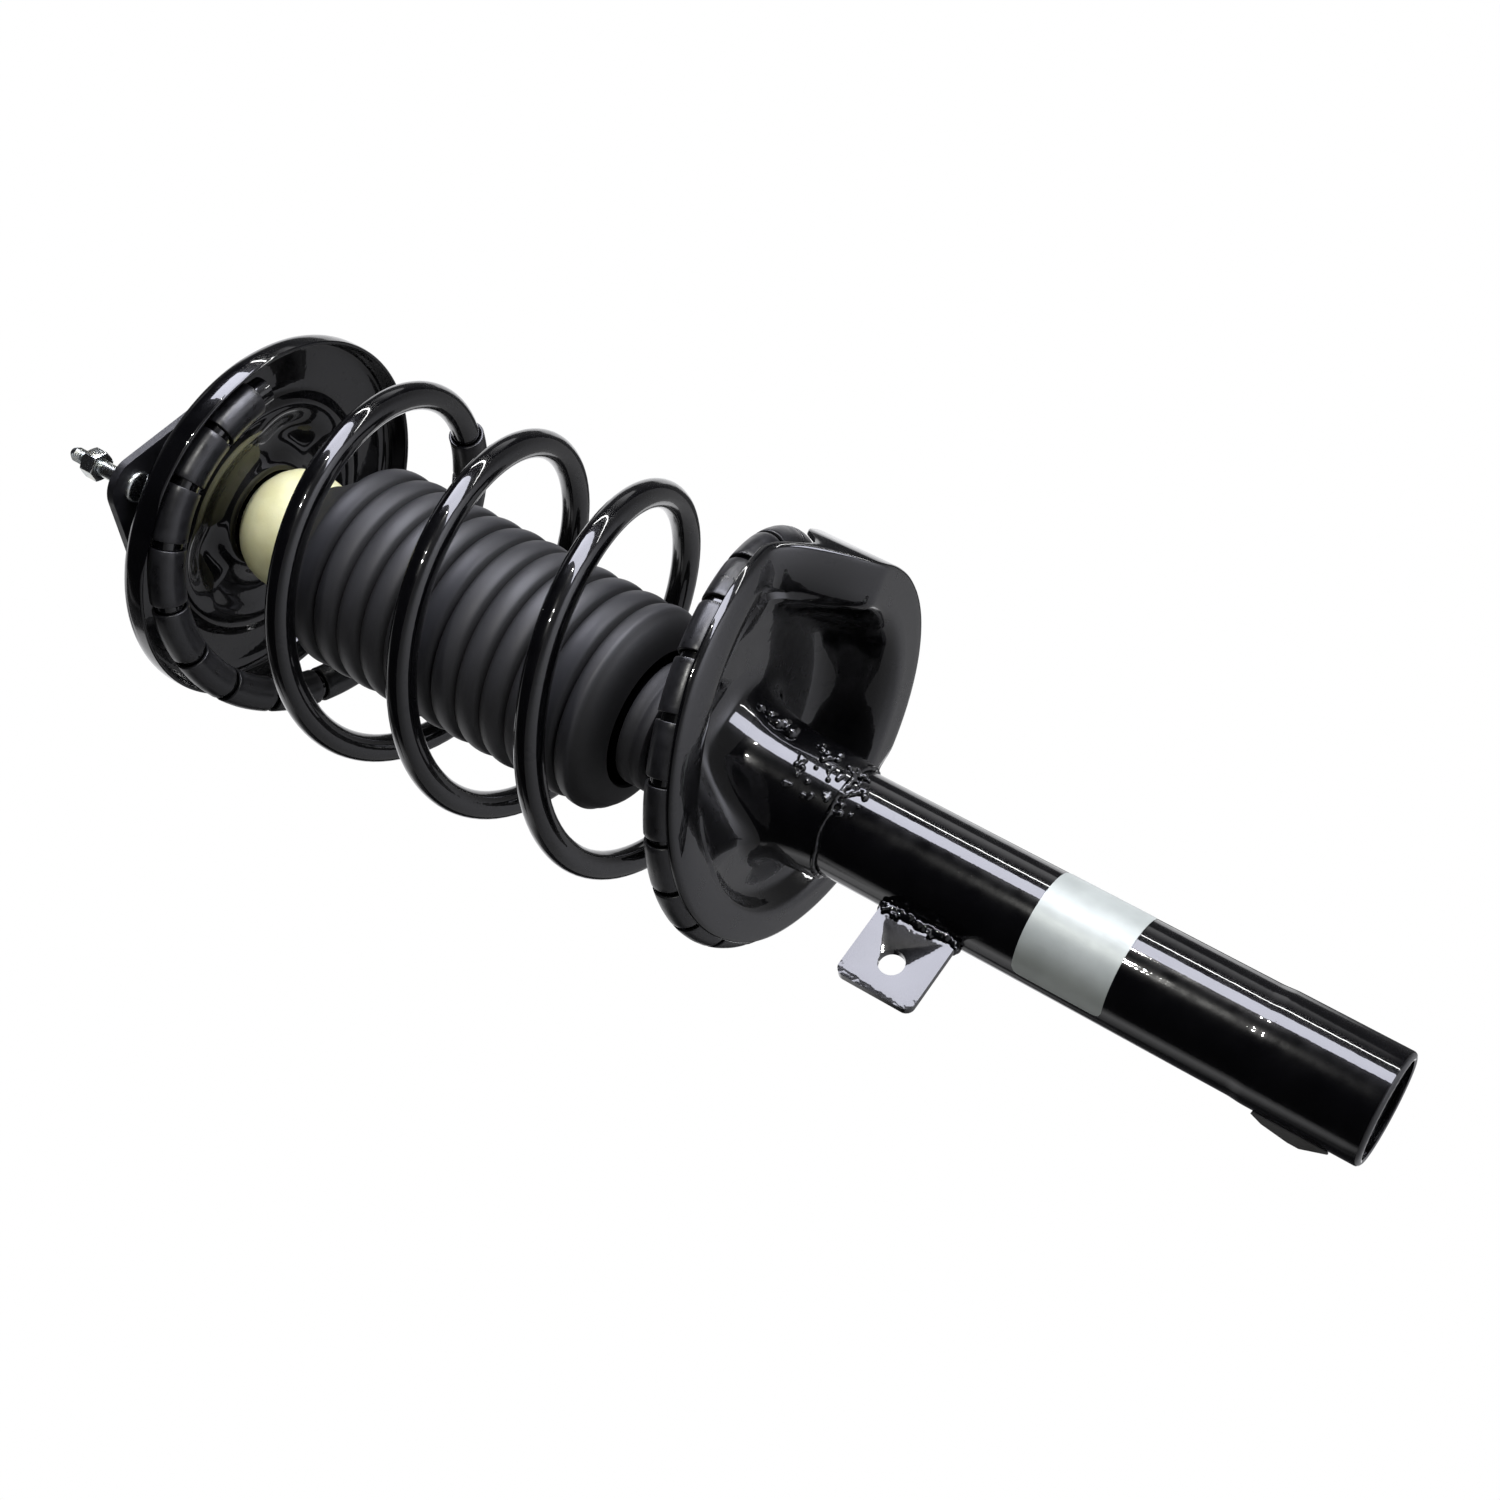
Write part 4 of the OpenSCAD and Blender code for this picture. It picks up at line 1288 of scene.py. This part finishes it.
class STRUT_OT_top_mount(StrutOperator):
    """Three-eared mount plate with its rubber and core"""

    bl_idname = "strut.top_mount"
    bl_label = "Top mount"

    def build(self, scene):
        mount = scene.strut_mount
        base = low_mm("mount_plate").z
        dome_top = high_mm("mount_plate").z
        circle = mount.stud_circle / MM
        azimuth = math.degrees(mount.stud_azimuth)
        t = 4
        plate_r = 72
        ear = 15
        lean = math.acos((plate_r - ear) / circle)
        corners = []
        for i in range(3):
            middle = math.radians(azimuth + 120 * i)
            for k in range(15):
                a = middle - lean + 2 * lean * k / 14
                x = circle * math.cos(middle) + ear * math.cos(a)
                corners.append((x, circle * math.sin(middle) + ear * math.sin(a)))
            free = math.radians(120) - 2 * lean
            for k in range(1, 8):
                a = middle + lean + free * k / 8
                corners.append((plate_r * math.cos(a), plate_r * math.sin(a)))
        plate = prism("mount_plate_pressing", corners, t, Matrix.Translation((0, 0, (base + t / 2) * MM)))
        hole_r = 46
        outline = [(hole_r, base), (58, base), (58, base + t), (54.5, base + t + 0.6), (51.6, base + t + 3)]
        outline += [(50.4, base + t + 7), (49.8, dome_top - 5), *arc(45.8, dome_top - 4, 4, 0, 90, 6)]
        outline += [(36, dome_top), (33.8, dome_top - 0.6), (33, dome_top - 2), (33.6, dome_top - 3)]
        outline += [(45, dome_top - 3), (hole_r, dome_top - 5)]
        dome = turned("mount_dome", outline, 128)
        clear()
        bpy.ops.mesh.primitive_cylinder_add(
            vertices=128, radius=hole_r * MM, depth=0.02, location=(0, 0, base * MM)
        )
        cut(plate, bpy.context.object)
        cut(plate, dome, "UNION")
        for i in range(3):
            clear()
            bpy.ops.mesh.primitive_cylinder_add(vertices=48, radius=4.3 * MM, depth=0.03)
            drill = bpy.context.object
            drill.data.transform(at_azimuth(azimuth + 120 * i, circle, base))
            cut(plate, drill)
        round_edges(plate, 0.9, 3, 35)
        settle(plate, "mount_plate_pressing", 35)
        finish_piece(plate, "top_mount", finish_of(satin_black_paint), "satin_black_paint", "mount_plate")

        low = low_mm("mount_rubber").z
        outline = [(17.1, low), (45.8, low), (45.9, dome_top - 3.3), (34.5, dome_top - 3.2)]
        outline += [(32.8, dome_top - 2.4), (32.4, dome_top), (31, dome_top + 1.3)]
        outline += [(28.6, dome_top + 1.6), (25.5, dome_top + 0.2)]
        outline += [(22.5, dome_top - 1.6), (19.5, dome_top - 1.4), (17.1, dome_top - 0.4)]
        rubber = turned("mount_rubber_bush", outline, 128, angle=50)
        finish_piece(rubber, "top_mount", finish_of(moulded_rubber), "black_rubber", "mount_rubber")

        low = low_mm("mount_core").z
        high = high_mm("mount_core").z
        outline = [(7.1, low), (16.2, low), (16.9, low + 0.7), (16.9, high - 0.8), (16.1, high), (7.6, high)]
        core = turned("mount_core_sleeve", outline, 96)
        steel = finish_of(turned_metal, "Cold-drawn steel", "#8D9093", "#A2A5A8", (0.25, 0.42), 0.4)
        finish_piece(core, "top_mount", steel, "plain_steel", "mount_core")


class STRUT_OT_fasteners(StrutOperator):
    """Threaded studs, their nuts, and the rod's washer and nut"""

    bl_idname = "strut.fasteners"
    bl_label = "Fasteners"

    def build(self, scene):
        mount = scene.strut_mount
        circle = mount.stud_circle / MM
        azimuth = math.degrees(mount.stud_azimuth)
        base = low_mm("mount_studs").z
        top = high_mm("mount_studs").z
        plate = low_mm("mount_plate").z
        zinc = finish_of(zinc_plate)

        outline = [(0, base + 0.3), (5.4, base), (7.0, base + 0.4), (7.8, base + 1.4), (7.8, plate - 0.1)]
        outline += [(4.2, plate - 0.1), (3.98, plate + 4.2), (3.98, plate + 21.6), (3.1, plate + 22.2)]
        outline += [(3.1, top - 1.2), (2.4, top), (0, top)]
        shank = turned("stud_shank", outline, 48, angle=40)
        thread = helical_thread("stud_thread", 3.68, 1.25, plate + 21.4, top - 0.4, 0.62, 40)
        stud = join("mount_stud", [shank, thread])
        settle(stud, "mount_stud", 40)
        self.three(stud, "mount_studs_pressed", azimuth, circle, zinc, "zinc_plate", "mount_studs")

        low = low_mm("stud_nuts").z
        nut = self.hexagon("stud_nut", 13, 3.75, low, high_mm("stud_nuts").z - low)
        self.three(nut, "stud_nuts_hexagon", azimuth, circle, zinc, "zinc_plate", "stud_nuts")

        low = low_mm("rod_washer").z
        high = high_mm("rod_washer").z
        outline = [(7.1, low), (19.3, low), (20, low + 0.6), (20, high - 0.7), (19.3, high), (7.5, high)]
        washer = turned("rod_washer_disc", outline, 96)
        finish_piece(washer, "top_mount", zinc, "zinc_plate", "rod_washer")

        low = low_mm("rod_nut").z
        rod_nut = self.hexagon("rod_nut_hexagon", 21, 7.05, low, high_mm("rod_nut").z - low)
        finish_piece(rod_nut, "top_mount", zinc, "zinc_plate", "rod_nut")

    def three(self, obj, name, azimuth, circle, material, slot, node):
        """Three copies on the stud circle, joined into one piece."""
        copies = [placed_copy(obj, f"{name}_{i}", at_azimuth(azimuth + 120 * i, circle)) for i in range(3)]
        bpy.data.objects.remove(obj)
        group = join(name, copies)
        settle(group, name, 40)
        finish_piece(group, "top_mount", material, slot, node)

    def hexagon(self, name, across, bore, low, height):
        """A nut: a hexagonal block chamfered by a turned double cone and bored through."""
        corner = across / 2 / math.cos(math.radians(30))
        clear()
        bpy.ops.mesh.primitive_cylinder_add(
            vertices=6, radius=corner * MM, depth=height * MM, location=(0, 0, (low + height / 2) * MM)
        )
        nut = bpy.context.object
        bpy.ops.object.transform_apply(location=True, rotation=True, scale=True)
        chamfer = (corner - across / 2) * 0.75
        face_r = across / 2 * 0.97
        top = low + height
        outline = [(0, low), (face_r, low), (corner, low + chamfer), (corner, top - chamfer)]
        outline += [(face_r, top), (0, top)]
        cut(nut, turned("chamfer_cone", outline, 96), "INTERSECT")
        clear()
        bpy.ops.mesh.primitive_cylinder_add(
            vertices=48, radius=bore * MM, depth=4 * height * MM, location=(0, 0, low * MM)
        )
        bpy.ops.object.transform_apply(location=True, rotation=True, scale=True)
        cut(nut, bpy.context.object)
        round_edges(nut, 0.25, 2, 35)
        return settle(nut, name, 35)


class STRUT_OT_inner_pieces(StrutOperator):
    """Materials for the pieces inside the damper and the bearing, which keep their frame shapes"""

    bl_idname = "strut.inner_pieces"
    bl_label = "Inner pieces"

    def build(self, scene):
        steel = finish_of(turned_metal, "Cold-drawn steel", "#8D9093", "#A2A5A8", (0.25, 0.42), 0.4)
        bright = finish_of(turned_metal, "Bearing steel, ground", "#B4B8BC", "#C6CACE", (0.08, 0.18), 0.25)
        bronze = finish_of(turned_metal, "Bronze-backed bush strip", "#9A7442", "#B08A55", (0.3, 0.45), 0.4)
        rubber = finish_of(moulded_rubber)
        band = finish_of(moulded_rubber, "Filled fluoroplastic band", "#1C3A31", "#27493F", (0.4, 0.55))
        iron = finish_of(porous_iron)
        finishes = {
            "pressure_tube": steel,
            "base_valve": iron,
            "rod_guide": iron,
            "guide_bush": bronze,
            "rod_seal": rubber,
            "seal_cap": steel,
            "bearing_lower_race": steel,
            "bearing_upper_race": steel,
            "bearing_balls": bright,
            "piston": iron,
            "piston_band": band,
            "valve_shims": steel,
            "piston_nut": steel,
            "rebound_stop": rubber,
        }
        for node, material in finishes.items():
            NODES[node].data.materials.clear()
            NODES[node].data.materials.append(material)


class STRUT_PT_panel(bpy.types.Panel):
    """Lists the strut's operators in the 3D view's sidebar"""

    bl_idname = "STRUT_PT_panel"
    bl_label = "Strut assembly"
    bl_space_type = "VIEW_3D"
    bl_region_type = "UI"
    bl_category = "Strut"

    def draw(self, context):
        for operator in OPERATORS:
            self.layout.operator(operator.bl_idname)


GROUPS = {
    "strut_finish": StrutFinish,
    "strut_spring": StrutSpring,
    "strut_boot": StrutBoot,
    "strut_bracket": StrutBracket,
    "strut_mount": StrutMount,
}
OPERATORS = (
    STRUT_OT_stage,
    STRUT_OT_damper_tube,
    STRUT_OT_label,
    STRUT_OT_hose_bracket,
    STRUT_OT_lower_seat,
    STRUT_OT_upper_seat,
    STRUT_OT_coil_spring,
    STRUT_OT_sleeves,
    STRUT_OT_boot,
    STRUT_OT_bump_stop,
    STRUT_OT_piston_rod,
    STRUT_OT_top_mount,
    STRUT_OT_fasteners,
    STRUT_OT_inner_pieces,
)


def register():
    """Registers the property groups, the operators and the panel."""
    for name, group in GROUPS.items():
        bpy.utils.register_class(group)
        setattr(bpy.types.Scene, name, bpy.props.PointerProperty(type=group))
    for operator in OPERATORS:
        bpy.utils.register_class(operator)
    bpy.utils.register_class(STRUT_PT_panel)


def unregister():
    """Undoes register()."""
    bpy.utils.unregister_class(STRUT_PT_panel)
    for operator in reversed(OPERATORS):
        bpy.utils.unregister_class(operator)
    for name, group in GROUPS.items():
        delattr(bpy.types.Scene, name)
        bpy.utils.unregister_class(group)


def main():
    """Builds every piece in order."""
    register()
    for operator in OPERATORS:
        group, action = operator.bl_idname.split(".")
        getattr(getattr(bpy.ops, group), action)()


if __name__ == "__main__":
    main()
